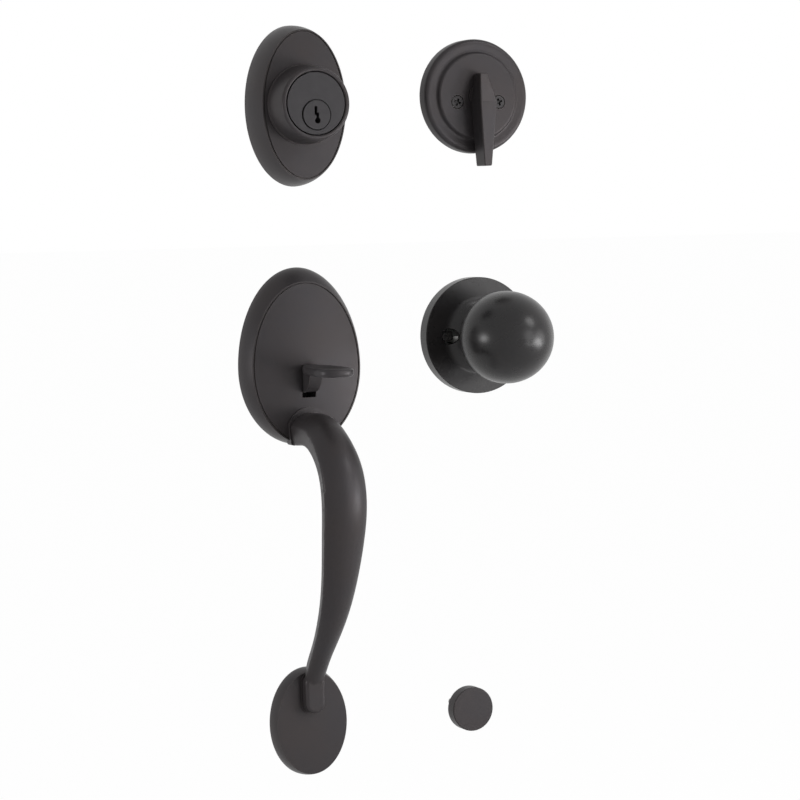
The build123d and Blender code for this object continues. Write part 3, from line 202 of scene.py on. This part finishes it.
# Camera
CAMERA_AZIMUTH = -24.5
CAMERA_ELEVATION = 4.0
CAMERA_ROLL = 1.25
CAMERA_DISTANCE = 1.555
CAMERA_TARGET = (0.06408, 0.0, -0.03197)
CAMERA_LENS = 119.25
CAMERA_SENSOR = 36.0
CAMERA_NEAREST = 0.05
CAMERA_FARTHEST = 100

# Floor and background
FLOOR_DROP = 0.04
FLOOR_SIZE = 60.0
FLOOR_COLOUR = (0.9, 0.9, 0.9, 1)
FLOOR_GLOW = 0.985
WHITE = (1, 1, 1, 1)
BACKGROUND_STRENGTH = 1.0
FILL_STRENGTH = 0.22

# Lamps: name, azimuth, elevation, distance from the middle, width and power in watts
LIGHT_MIDDLE = (0.055, 0.0, -0.04)
LAMPS = (
    ("key_right", 50, -12, 1.05, 0.5, 6.8),
    ("high_right", 40, 38, 1.05, 0.36, 2.2),
    ("near_right", 53, 0, 0.5, 0.3, 0.62),
    ("near_front", 24, 10, 0.62, 0.26, 0.5),
    ("low_front", 24, -14, 1.05, 0.26, 1.2),
    ("side_left", -93, 2, 1.05, 0.28, 2.8),
)


def deselect():
    """Leaves object mode with nothing selected."""
    if bpy.context.object and bpy.context.object.mode != "OBJECT":
        bpy.ops.object.mode_set(mode="OBJECT")
    bpy.ops.object.select_all(action="DESELECT")


def work_on(piece):
    """Makes one piece the only selected and active one."""
    deselect()
    piece.select_set(True)
    bpy.context.view_layer.objects.active = piece


def settle(piece):
    """Puts a piece's place, turn and size into its mesh."""
    work_on(piece)
    bpy.ops.object.transform_apply(location=True, rotation=True, scale=True)


def apply_modifier(piece, kind, **values):
    """Adds a modifier with its values and applies it."""
    work_on(piece)
    modifier = piece.modifiers.new(kind.title(), kind)
    for name, value in values.items():
        setattr(modifier, name, value)
    bpy.ops.object.modifier_apply(modifier=modifier.name)


def round_edges(piece, width, segments=3, angle=30):
    """Rounds the edges of a piece that are sharper than an angle in degrees."""
    apply_modifier(
        piece,
        "BEVEL",
        width=width * MM,
        segments=segments,
        limit_method="ANGLE",
        angle_limit=math.radians(angle),
        miter_outer="MITER_ARC",
    )


def smooth(piece, angle=35):
    """Shades a piece smooth, except at its edges that are sharper than an angle in degrees."""
    work_on(piece)
    bpy.ops.object.shade_smooth_by_angle(angle=math.radians(angle))
    apply_modifier(piece, "WEIGHTED_NORMAL", mode="FACE_AREA", weight=80, keep_sharp=True)


def resize_half(ring, half, ratio, centre):
    """Stretches one half of a ring away from its widest line."""
    for vertex in ring:
        vertex.select = (vertex.co.z - centre[2]) * half > SAME_HEIGHT
    bpy.ops.transform.resize(value=(1, 1, ratio), center_override=centre)


def close_ends(closing):
    """Closes the open loops of the piece in edit mode, by flat faces or by joining the loops."""
    bpy.ops.mesh.select_mode(type="EDGE")
    bpy.ops.mesh.select_all(action="DESELECT")
    bpy.ops.mesh.select_non_manifold(extend=False)
    if closing == "BRIDGE":
        bpy.ops.mesh.bridge_edge_loops()
    else:
        bpy.ops.mesh.edge_face_add()
    bpy.ops.mesh.select_all(action="SELECT")
    bpy.ops.mesh.normals_make_consistent(inside=False)
    bpy.ops.object.mode_set(mode="OBJECT")


def ringed(name, place, levels, points, closing="FILL"):
    """A piece drawn out ring by ring from levels of a distance out, a half width, a rise and a
    drop."""
    deselect()
    out, width = levels[0][:2]
    bpy.ops.mesh.primitive_circle_add(
        vertices=points,
        radius=width * MM,
        location=(place[0] * MM, -out * MM, place[1] * MM),
        rotation=(math.pi / 2, 0, 0),
    )
    piece = bpy.context.object
    piece.name = name
    piece.data.name = name
    settle(piece)
    bpy.ops.object.mode_set(mode="EDIT")
    bpy.ops.mesh.select_mode(type="VERT")
    bpy.ops.mesh.select_all(action="SELECT")
    before = (out, width, width, width)
    for number, level in enumerate(levels):
        out, width, rise, drop = level
        if number:
            step = (0, (before[0] - out) * MM, 0)
            bpy.ops.mesh.extrude_region_move(TRANSFORM_OT_translate={"value": step})
        centre = (place[0] * MM, -out * MM, place[1] * MM)
        ratio = width / before[1]
        if ratio != 1:
            bpy.ops.transform.resize(value=(ratio, 1, ratio), center_override=centre)
        shape = bmesh.from_edit_mesh(piece.data)
        ring = [vertex for vertex in shape.verts if vertex.select]
        for half, size, old in ((1, rise, before[2]), (-1, drop, before[3])):
            stretch = size / (old * ratio)
            if abs(stretch - 1) > SAME_RATIO:
                resize_half(ring, half, stretch, centre)
        for vertex in ring:
            vertex.select = True
        shape.select_flush(True)
        before = level
    close_ends(closing)
    return piece


def round_piece(name, place, profile, points, closing="FILL"):
    """A round piece from a profile of distances out and radii."""
    levels = [(out, radius, radius, radius) for out, radius in profile]
    return ringed(name, place, levels, points, closing)


def rod(radius, place, back, front, points=HOLE_POINTS):
    """A plain round cutter along the door's depth."""
    return round_piece("cutter", place, ((back, radius), (front, radius)), points)


def rod_pair(radius, place, offset, back, front):
    """Two like round cutters, left and right of a place."""
    return [rod(radius, (place[0] + side * offset, place[1]), back, front) for side in (-1, 1)]


def block(size, place, back, front):
    """A plain square cutter along the door's depth."""
    deselect()
    bpy.ops.mesh.primitive_cube_add(
        size=1,
        location=(place[0] * MM, -(back + front) / 2 * MM, place[1] * MM),
        scale=(size[0] * MM, (front - back) * MM, size[1] * MM),
    )
    settle(bpy.context.object)
    return bpy.context.object


def cut(piece, cutters):
    """Cuts shapes out of a piece and removes the shapes."""
    for cutter in cutters:
        apply_modifier(piece, "BOOLEAN", operation="DIFFERENCE", solver="EXACT", object=cutter)
        deselect()
        cutter.select_set(True)
        bpy.ops.object.delete()


def dress(piece, material, body, node):
    """Gives a piece its material and body, and hides the node it stands for."""
    piece.data.materials.clear()
    piece.data.materials.append(material)
    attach(piece, body)
    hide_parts(node)


def copied(node, material, body, width):
    """A merged copy of a CAD node, smooth except at its edges, that stands for the node."""
    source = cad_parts[node]
    piece = bpy.data.objects.new(node + "_finished", source.data.copy())
    bpy.context.scene.collection.objects.link(piece)
    work_on(piece)
    bpy.ops.object.mode_set(mode="EDIT")
    bpy.ops.mesh.select_all(action="SELECT")
    bpy.ops.mesh.remove_doubles(threshold=SAME_PLACE)
    bpy.ops.mesh.dissolve_limited(angle_limit=math.radians(FLAT_BEND))
    bpy.ops.object.mode_set(mode="OBJECT")
    if width:
        round_edges(piece, width, segments=2)
    smooth(piece)
    dress(piece, material, body, node)
    return piece


def new_material(name):
    """A new material, its node tree and its shader."""
    material = bpy.data.materials.new(name)
    material.use_nodes = True
    tree = material.node_tree
    return material, tree, tree.nodes["Principled BSDF"]


def noise(tree, waves, detail, roughness=0.55):
    """Noise on Object coordinates, at a number of waves per metre."""
    place = tree.nodes.new("ShaderNodeTexCoord")
    texture = tree.nodes.new("ShaderNodeTexNoise")
    texture.inputs["Scale"].default_value = waves
    texture.inputs["Detail"].default_value = detail
    texture.inputs["Roughness"].default_value = roughness
    tree.links.new(place.outputs["Object"], texture.inputs["Vector"])
    return texture.outputs["Fac"]


def spread(tree, value, low, high, start=0.3, end=0.7):
    """Maps a value from the span of start to end to the span of low to high."""
    node = tree.nodes.new("ShaderNodeMapRange")
    node.inputs["From Min"].default_value = start
    node.inputs["From Max"].default_value = end
    node.inputs["To Min"].default_value = low
    node.inputs["To Max"].default_value = high
    tree.links.new(value, node.inputs["Value"])
    return node.outputs["Result"]


def blended(tree, factor, first, second):
    """Mixes two colours by a factor: each is a colour or the output of a node."""
    node = tree.nodes.new("ShaderNodeMix")
    node.data_type = "RGBA"
    tree.links.new(factor, node.inputs["Factor"])
    for socket, colour in (("A", first), ("B", second)):
        entry = [i for i in node.inputs if i.name == socket and i.type == "RGBA"][0]
        if isinstance(colour, tuple):
            entry.default_value = (*colour, 1)
        else:
            tree.links.new(colour, entry)
    return [o for o in node.outputs if o.type == "RGBA"][0]


def arithmetic(tree, operation, first, second):
    """One step of arithmetic between node outputs or numbers."""
    node = tree.nodes.new("ShaderNodeMath")
    node.operation = operation
    for socket, value in zip(node.inputs, (first, second)):
        if isinstance(value, (int, float)):
            socket.default_value = value
        else:
            tree.links.new(value, socket)
    return node.outputs[0]


def bump(tree, height, distance, strength):
    """A bump normal from a height."""
    node = tree.nodes.new("ShaderNodeBump")
    node.inputs["Distance"].default_value = distance * MM
    node.inputs["Strength"].default_value = strength
    tree.links.new(height, node.inputs["Height"])
    return node.outputs["Normal"]


def edge_wear(tree, radius):
    """One close to an edge, within about the radius, and nought on open surfaces."""
    bevel = tree.nodes.new("ShaderNodeBevel")
    bevel.samples = 6
    bevel.inputs["Radius"].default_value = radius * MM
    geometry = tree.nodes.new("ShaderNodeNewGeometry")
    product = tree.nodes.new("ShaderNodeVectorMath")
    product.operation = "DOT_PRODUCT"
    tree.links.new(bevel.outputs["Normal"], product.inputs[0])
    tree.links.new(geometry.outputs["Normal"], product.inputs[1])
    return spread(tree, product.outputs["Value"], 1.0, 0.0, start=0.9, end=1.0)


def dark_bronze(name, base, warm, rubbed, roughness, metal, gloss):
    """Oil-rubbed bronze: dark patina with warm clouding, fine cast grain and rubbed edges."""
    material, tree, shader = new_material(name)
    clouds = spread(tree, noise(tree, waves=38, detail=5), 0.0, 1.0)
    colour = blended(tree, clouds, base, warm)
    rubbing = spread(tree, noise(tree, waves=210, detail=3), 0.25, 1.0)
    wear = arithmetic(tree, "MULTIPLY", edge_wear(tree, radius=0.6), rubbing)
    colour = blended(tree, wear, colour, rubbed)
    tree.links.new(colour, shader.inputs["Base Color"])
    shader.inputs["Metallic"].default_value = metal
    shader.inputs["Specular IOR Level"].default_value = gloss
    patches = spread(tree, noise(tree, waves=90, detail=4), roughness - 0.03, roughness + 0.04)
    tree.links.new(patches, shader.inputs["Roughness"])
    grain = noise(tree, waves=2600, detail=2)
    tree.links.new(bump(tree, grain, distance=0.02, strength=0.35), shader.inputs["Normal"])
    return material


def turned_face(name, base, place):
    """Dark bronze with the fine concentric lines of a turned face."""
    material, tree, shader = new_material(name)
    coordinates = tree.nodes.new("ShaderNodeTexCoord")
    mapping = tree.nodes.new("ShaderNodeMapping")
    mapping.inputs["Location"].default_value = (-place[0] * MM, 0, -place[1] * MM)
    rings = tree.nodes.new("ShaderNodeTexWave")
    rings.wave_type = "RINGS"
    rings.rings_direction = "Y"
    rings.inputs["Scale"].default_value = 420
    rings.inputs["Distortion"].default_value = 1.2
    tree.links.new(coordinates.outputs["Object"], mapping.inputs["Vector"])
    tree.links.new(mapping.outputs["Vector"], rings.inputs["Vector"])
    lines = rings.outputs["Fac"]
    clouds = spread(tree, noise(tree, waves=160, detail=4), 0.0, 1.0)
    lighter = tuple(1.1 * channel for channel in base)
    tree.links.new(blended(tree, clouds, base, lighter), shader.inputs["Base Color"])
    shader.inputs["Metallic"].default_value = 0.2
    shader.inputs["Specular IOR Level"].default_value = 0.1
    dulled = spread(tree, lines, 0.42, 0.5, start=0, end=1)
    tree.links.new(dulled, shader.inputs["Roughness"])
    tree.links.new(bump(tree, lines, distance=0.012, strength=0.3), shader.inputs["Normal"])
    return material


def plated(name, base, roughness, waves):
    """Dull plated or oiled steel with a crystalline clouding."""
    material, tree, shader = new_material(name)
    clouds = spread(tree, noise(tree, waves, detail=6, roughness=0.65), 0.0, 1.0)
    darker = tuple(0.72 * channel for channel in base)
    tree.links.new(blended(tree, clouds, base, darker), shader.inputs["Base Color"])
    shader.inputs["Metallic"].default_value = 1.0
    dulled = spread(tree, clouds, roughness - 0.05, roughness + 0.08, start=0, end=1)
    tree.links.new(dulled, shader.inputs["Roughness"])
    grain = noise(tree, waves=1800, detail=3)
    tree.links.new(bump(tree, grain, distance=0.02, strength=0.3), shader.inputs["Normal"])
    return material


def moulded(name, base):
    """Black moulded plastic with a fine grain."""
    material, tree, shader = new_material(name)
    grain = noise(tree, waves=1500, detail=3)
    lighter = tuple(1.5 * channel for channel in base)
    tree.links.new(blended(tree, grain, base, lighter), shader.inputs["Base Color"])
    shader.inputs["Roughness"].default_value = 0.6
    tree.links.new(bump(tree, grain, distance=0.03, strength=0.5), shader.inputs["Normal"])
    return material


BRONZE = dark_bronze(
    "satin_dark_bronze",
    base=(0.05, 0.0465, 0.0495),
    warm=(0.054, 0.0475, 0.048),
    rubbed=(0.078, 0.069, 0.066),
    roughness=0.38,
    metal=0.25,
    gloss=0.1,
)
KNOB_BRONZE = dark_bronze(
    "smooth_dark_bronze",
    base=(0.022, 0.021, 0.022),
    warm=(0.024, 0.022, 0.022),
    rubbed=(0.034, 0.032, 0.03),
    roughness=0.28,
    metal=0.1,
    gloss=0.28,
)
CYLINDER_BRONZE = turned_face("turned_dark_bronze", base=(0.05, 0.0475, 0.05), place=DEADBOLT)
ZINC = plated("dull_zinc_plate", base=(0.55, 0.55, 0.53), roughness=0.38, waves=120)
SPRING_STEEL = plated("oiled_spring_steel", base=(0.34, 0.34, 0.35), roughness=0.3, waves=400)
BLACK_STEEL = plated("blackened_screw_steel", base=(0.042, 0.04, 0.041), roughness=0.4, waves=500)
BOLT_STEEL = plated("oiled_bolt_steel", base=(0.17, 0.165, 0.16), roughness=0.36, waves=500)
NYLON = moulded("black_nylon", base=(0.02, 0.02, 0.02))

# Nodes whose CAD shape is right: node, material, slot, body and how far its edges are rounded
COPIES = (
    ("cylinder_body", CYLINDER_BRONZE, "cylinder_bronze", FIXED, 0.4),
    ("key_plug", CYLINDER_BRONZE, "cylinder_bronze", PLUG, 0.4),
    ("plug_retainer", SPRING_STEEL, "spring_steel", PLUG, 0.0),
    ("deadbolt_tailpiece", ZINC, "plated_steel", PLUG, 0.0),
    ("turn_backplate", ZINC, "plated_steel", FIXED, 0.0),
    ("turn_bush", NYLON, "bush_plastic", FIXED, 0.0),
    ("thumbturn", BRONZE, "dark_bronze", TURNPIECE, 0.2),
    ("turn_clip", SPRING_STEEL, "spring_steel", TURNPIECE, 0.0),
    ("turn_screws", BLACK_STEEL, "dark_steel", FIXED, 0.35),
    ("mounting_posts", ZINC, "plated_steel", FIXED, 0.0),
    ("lower_post", ZINC, "plated_steel", FIXED, 0.0),
    ("grip", BRONZE, "dark_bronze", FIXED, 0.0),
    ("grip_screws", ZINC, "plated_steel", FIXED, 0.0),
    ("foot_screw", ZINC, "plated_steel", FIXED, 0.0),
    ("thumb_bracket", BLACK_STEEL, "dark_steel", FIXED, 0.0),
    ("thumb_pivot_pin", ZINC, "plated_steel", FIXED, 0.0),
    ("thumbpiece", BRONZE, "dark_bronze", THUMB, 0.0),
    ("thumb_spring", SPRING_STEEL, "spring_steel", FIXED, 0.0),
    ("rose_liner", ZINC, "plated_steel", FIXED, 0.0),
    ("knob_clip", SPRING_STEEL, "spring_steel", KNOB, 0.0),
    ("knob_spindle", ZINC, "plated_steel", KNOB, 0.0),
    ("knob_return_spring", SPRING_STEEL, "spring_steel", FIXED, 0.0),
    ("knob_bolts", BOLT_STEEL, "dark_steel", FIXED, 0.3),
    ("cap_base", NYLON, "bush_plastic", FIXED, 0.0),
    ("lower_bolt", BOLT_STEEL, "dark_steel", FIXED, 0.0),
)


def wall_share(part):
    """How much of the face's inset the bulged wall has reached at a share of the depth."""
    return WALL_SLOPE * part + WALL_BULGE * part * part


def egg_plate(name, place, base, face, depth, wall, crown, line=True):
    """Hollow oval plate with a bulged wall, a line round its face and a face that rises to its
    middle."""
    inset = [b - f for b, f in zip(base, face)]

    def level(out, shrink):
        """Level of the wall, drawn in by the wall's thickness on the inside."""
        share = wall_share(out / depth)
        return (out, *(b - i * share - shrink for b, i in zip(base, inset)))

    def face_level(margin, drop=0.0):
        """Level of the face at a margin from its edge, sunk by a drop in the line."""
        share = 1 - margin / face[0]
        return (depth + crown * (1 - share * share) - drop, *(size - margin for size in face))

    heights = [depth * step / WALL_STEPS for step in range(WALL_STEPS + 1)]
    levels = [level(out, wall) for out in reversed(heights) if out < depth - wall]
    levels.insert(0, (depth - wall, *(value - INNER_CORNER for value in levels[0][1:])))
    levels += [level(out, 0) for out in heights]
    if line:
        levels += [
            face_level(LINE_MARGIN),
            face_level(LINE_MARGIN, LINE_DEPTH),
            face_level(LINE_MARGIN + LINE_WIDTH, LINE_DEPTH),
            face_level(LINE_MARGIN + LINE_WIDTH),
        ]
    for share in FACE_RINGS:
        rise = depth + crown * (1 - share * share)
        levels.append((rise, *(size * share for size in face)))
    return ringed(name, place, levels, FINE_ROUND_POINTS)


def build_deadbolt_plate():
    """Oval rosette of the outside deadbolt, with its round opening."""
    base = DEADBOLT_PLATE_BASE
    face = tuple(size - DEADBOLT_PLATE_INSET for size in base)
    piece = egg_plate("oval_deadbolt_plate", DEADBOLT, base, face, depth=19.2, wall=2.0, crown=0.8)
    cut(piece, [rod(DEADBOLT_PLATE_OPENING, DEADBOLT, back=8, front=24, points=WIDE_HOLE_POINTS)])
    round_edges(piece, width=0.22)
    smooth(piece)
    dress(piece, BRONZE, FIXED, "deadbolt_oval_rosette")


def build_collar():
    """Tapered collar with a foot line and a rounded front rim."""
    piece = round_piece("tapered_collar", DEADBOLT, COLLAR_PROFILE, ROUND_POINTS, "BRIDGE")
    round_edges(piece, width=0.15)
    smooth(piece)
    dress(piece, BRONZE, FIXED, "cylinder_collar")


def build_turn_rosette():
    """Stepped round rosette of the inside deadbolt, with its hub hole and two screw seats."""
    piece = round_piece(
        "stepped_turn_rosette", INSIDE_DEADBOLT, TURN_ROSETTE_PROFILE, FINE_ROUND_POINTS, "BRIDGE"
    )
    place, offset = TURN_SCREWS_PLACE, TURN_SCREWS_OFFSET
    cut(piece, rod_pair(TURN_SCREW_SEAT_RADIUS, place, offset, back=2, front=14))
    round_edges(piece, width=0.12, segments=2, angle=40)
    smooth(piece, angle=40)
    dress(piece, BRONZE, FIXED, "turn_rosette")


def build_upper_plate():
    """Egg-shaped upper plate with the thumb slot and the holes of the grip's screws."""
    piece = egg_plate(
        "upper_handle_plate",
        UPPER,
        base=(37.0, 57.1, 44.9),
        face=(33.35, 49.3, 44.0),
        depth=13.0,
        wall=1.6,
        crown=3.0,
    )
    slot = block(THUMB_SLOT_SIZE, THUMB_SLOT_PLACE, back=8, front=24)
    place, offset = GRIP_SCREWS_PLACE, GRIP_SCREWS_OFFSET
    cut(piece, [slot, *rod_pair(SCREW_HOLE_RADIUS, place, offset, back=8, front=20)])
    round_edges(piece, width=0.2)
    smooth(piece)
    dress(piece, BRONZE, FIXED, "upper_plate")


def build_lower_plate():
    """Oval lower plate under the grip's foot."""
    piece = egg_plate(
        "lower_handle_plate",
        LOWER,
        base=(23.2, 31.6, 31.6),
        face=(21.6, 30.0, 30.0),
        depth=8.8,
        wall=2.0,
        crown=0.2,
        line=False,
    )
    cut(piece, [rod(SCREW_HOLE_RADIUS, FOOT_SCREW_PLACE, back=4, front=12)])
    round_edges(piece, width=0.25)
    smooth(piece)
    dress(piece, BRONZE, FIXED, "lower_plate")


def ball_level(angle):
    """Distance out and radius of the ball at an angle from its widest line."""
    if angle <= 0:
        return (KNOB_WIDEST + KNOB_RADIUS * math.sin(angle), KNOB_RADIUS * math.cos(angle))
    if angle < KNOB_LEAN:
        out = KNOB_WIDEST + KNOB_SIDE_ROUND * math.sin(angle)
        return (out, KNOB_RADIUS + KNOB_SIDE_ROUND * (math.cos(angle) - 1))
    return (KNOB_TOP + KNOB_NOSE_ROUND * (math.sin(angle) - 1), KNOB_NOSE_ROUND * math.cos(angle))


def build_knob():
    """Ball knob with its shank."""
    start = math.acos(KNOB_NECK_RADIUS / KNOB_RADIUS)
    sweep = start + math.pi / 2
    ball = [ball_level(-start + sweep * step / KNOB_STEPS) for step in range(KNOB_STEPS)]
    profile = [*KNOB_SHANK_PROFILE, *ball, KNOB_TIP]
    piece = round_piece("ball_knob", KNOB_AXIS, profile, FINE_ROUND_POINTS)
    round_edges(piece, width=0.15, segments=2, angle=50)
    smooth(piece, angle=50)
    dress(piece, KNOB_BRONZE, KNOB, "knob")


def rose_arc(radius):
    """Distances out and radii along the rose's quarter arc, from its dish up to its neck."""
    out, middle = ROSE_ARC_CENTRE
    turns = [math.pi / 2 * step / ROSE_ARC_STEPS for step in range(ROSE_ARC_STEPS + 1)]
    return [(out - radius * math.cos(turn), middle - radius * math.sin(turn)) for turn in turns]


def build_knob_rose():
    """Knob rose: upright side, shallow dish and an arc up to the neck, with two screw wells."""
    inner = reversed(rose_arc(ROSE_ARC_RADIUS + ROSE_WALL))
    profile = [*inner, *ROSE_SIDE_PROFILE, *rose_arc(ROSE_ARC_RADIUS)]
    piece = round_piece("knob_rose_cone", KNOB_AXIS, profile, FINE_ROUND_POINTS, "BRIDGE")
    cut(piece, rod_pair(ROSE_WELL_RADIUS, KNOB_AXIS, ROSE_WELLS_OFFSET, back=3, front=22))
    round_edges(piece, width=0.25, angle=32)
    smooth(piece, angle=40)
    dress(piece, KNOB_BRONZE, FIXED, "knob_rose")


def build_bolt_cap():
    """Round push-on cap of the lower through-bolt."""
    piece = round_piece("round_bolt_cap", CAP, BOLT_CAP_PROFILE, ROUND_POINTS)
    round_edges(piece, width=0.8, segments=4, angle=50)
    smooth(piece)
    dress(piece, BRONZE, FIXED, "bolt_cap")


def cut_plug_gap(cylinder):
    """Cuts the dark gap round the key plug into the cylinder's face."""
    face = -min(vertex.co.y for vertex in cylinder.data.vertices) / MM
    back, front = face - PLUG_GAP_DEPTH, face + PLUG_GAP_SPARE
    cut(cylinder, [rod(PLUG_GAP_RADIUS, PLUG_PLACE, back, front, WIDE_HOLE_POINTS)])
    smooth(cylinder)


def build_copies():
    """The pieces whose CAD shape is right, in their finishes."""
    for node, material, slot, body, width in COPIES:
        piece = copied(node, material, body, width)
        if node == "cylinder_body":
            cut_plug_gap(piece)
        if node == "thumb_spring":
            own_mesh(piece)


def background_rays(tree):
    """One on the rays that show the background: the camera's, and those in metal and glass."""
    path = tree.nodes.new("ShaderNodeLightPath")
    camera, glass = path.outputs["Is Camera Ray"], path.outputs["Is Transmission Ray"]
    direct = arithmetic(tree, "MAXIMUM", camera, glass)
    return arithmetic(tree, "MAXIMUM", direct, path.outputs["Is Glossy Ray"])


def mixed_output(tree, share, first, second, output):
    """Mixes two shaders by a share into an output."""
    mix = tree.nodes.new("ShaderNodeMixShader")
    tree.links.new(share, mix.inputs["Fac"])
    tree.links.new(first.outputs[0], mix.inputs[1])
    tree.links.new(second.outputs[0], mix.inputs[2])
    tree.links.new(mix.outputs[0], output.inputs["Surface"])


def build_world():
    """Weak even light from all round, on a white background."""
    world = bpy.data.worlds.new("studio")
    bpy.context.scene.world = world
    world.use_nodes = True
    tree = world.node_tree
    tree.nodes.clear()
    fill, background = [tree.nodes.new("ShaderNodeBackground") for _ in range(2)]
    for node, strength in ((fill, FILL_STRENGTH), (background, BACKGROUND_STRENGTH)):
        node.inputs["Color"].default_value = WHITE
        node.inputs["Strength"].default_value = strength
    output = tree.nodes.new("ShaderNodeOutputWorld")
    mixed_output(tree, background_rays(tree), fill, background, output)


def build_floor():
    """Plain pale floor under the object, white to the camera with the object's shadow on it."""
    material = bpy.data.materials.new("pale_floor")
    material.use_nodes = True
    tree = material.node_tree
    tree.nodes.clear()
    matt = tree.nodes.new("ShaderNodeBsdfDiffuse")
    matt.inputs["Color"].default_value = FLOOR_COLOUR
    glow = tree.nodes.new("ShaderNodeEmission")
    share = arithmetic(tree, "MULTIPLY", background_rays(tree), FLOOR_GLOW)
    mixed_output(tree, share, matt, glow, tree.nodes.new("ShaderNodeOutputMaterial"))
    deselect()
    lowest = cad_box[0][2] - FLOOR_DROP
    bpy.ops.mesh.primitive_plane_add(size=FLOOR_SIZE, location=(0, 0, lowest))
    floor = bpy.context.object
    floor.name = "floor"
    floor.data.materials.append(material)


def direction(azimuth, elevation):
    """The way from the object to a lamp or the camera, from two angles in degrees."""
    turn, lift = math.radians(azimuth), math.radians(elevation)
    return Vector(
        (math.sin(turn) * math.cos(lift), -math.cos(turn) * math.cos(lift), math.sin(lift))
    )


def soft_box(name, azimuth, elevation, distance, width, power):
    """A soft round lamp, aimed at the object's middle."""
    lamp = bpy.data.lights.new(name, "AREA")
    lamp.shape = "DISK"
    lamp.size = width
    lamp.energy = power
    holder = bpy.data.objects.new(name, lamp)
    bpy.context.scene.collection.objects.link(holder)
    away = direction(azimuth, elevation)
    holder.location = Vector(LIGHT_MIDDLE) + away * distance
    holder.rotation_euler = (-away).to_track_quat("-Z", "Y").to_euler()


def build_lights():
    """Soft boxes: most of the light comes from the front right, a little from the left."""
    for lamp in LAMPS:
        soft_box(*lamp)


def build_camera():
    """Camera at the photograph's angle."""
    azimuth, roll = math.radians(CAMERA_AZIMUTH), math.radians(CAMERA_ROLL)
    back = direction(CAMERA_AZIMUTH, CAMERA_ELEVATION)
    level = Vector((math.cos(azimuth), math.sin(azimuth), 0))
    upright = back.cross(level)
    right = level * math.cos(roll) - upright * math.sin(roll)
    up = level * math.sin(roll) + upright * math.cos(roll)
    camera = bpy.data.cameras.new("photo_camera")
    camera.lens = CAMERA_LENS
    camera.sensor_width = CAMERA_SENSOR
    camera.clip_start = CAMERA_NEAREST
    camera.clip_end = CAMERA_FARTHEST
    holder = bpy.data.objects.new("photo_camera", camera)
    bpy.context.scene.collection.objects.link(holder)
    turn = Matrix((right, up, back)).transposed().to_4x4()
    place = Vector(CAMERA_TARGET) + back * CAMERA_DISTANCE
    holder.matrix_world = Matrix.Translation(place) @ turn
    bpy.context.scene.camera = holder


build_deadbolt_plate()
build_collar()
build_turn_rosette()
build_upper_plate()
build_lower_plate()
build_knob()
build_knob_rose()
build_bolt_cap()
build_copies()
build_world()
build_lights()
build_floor()
build_camera()
bpy.context.scene.view_settings.view_transform = "Standard"
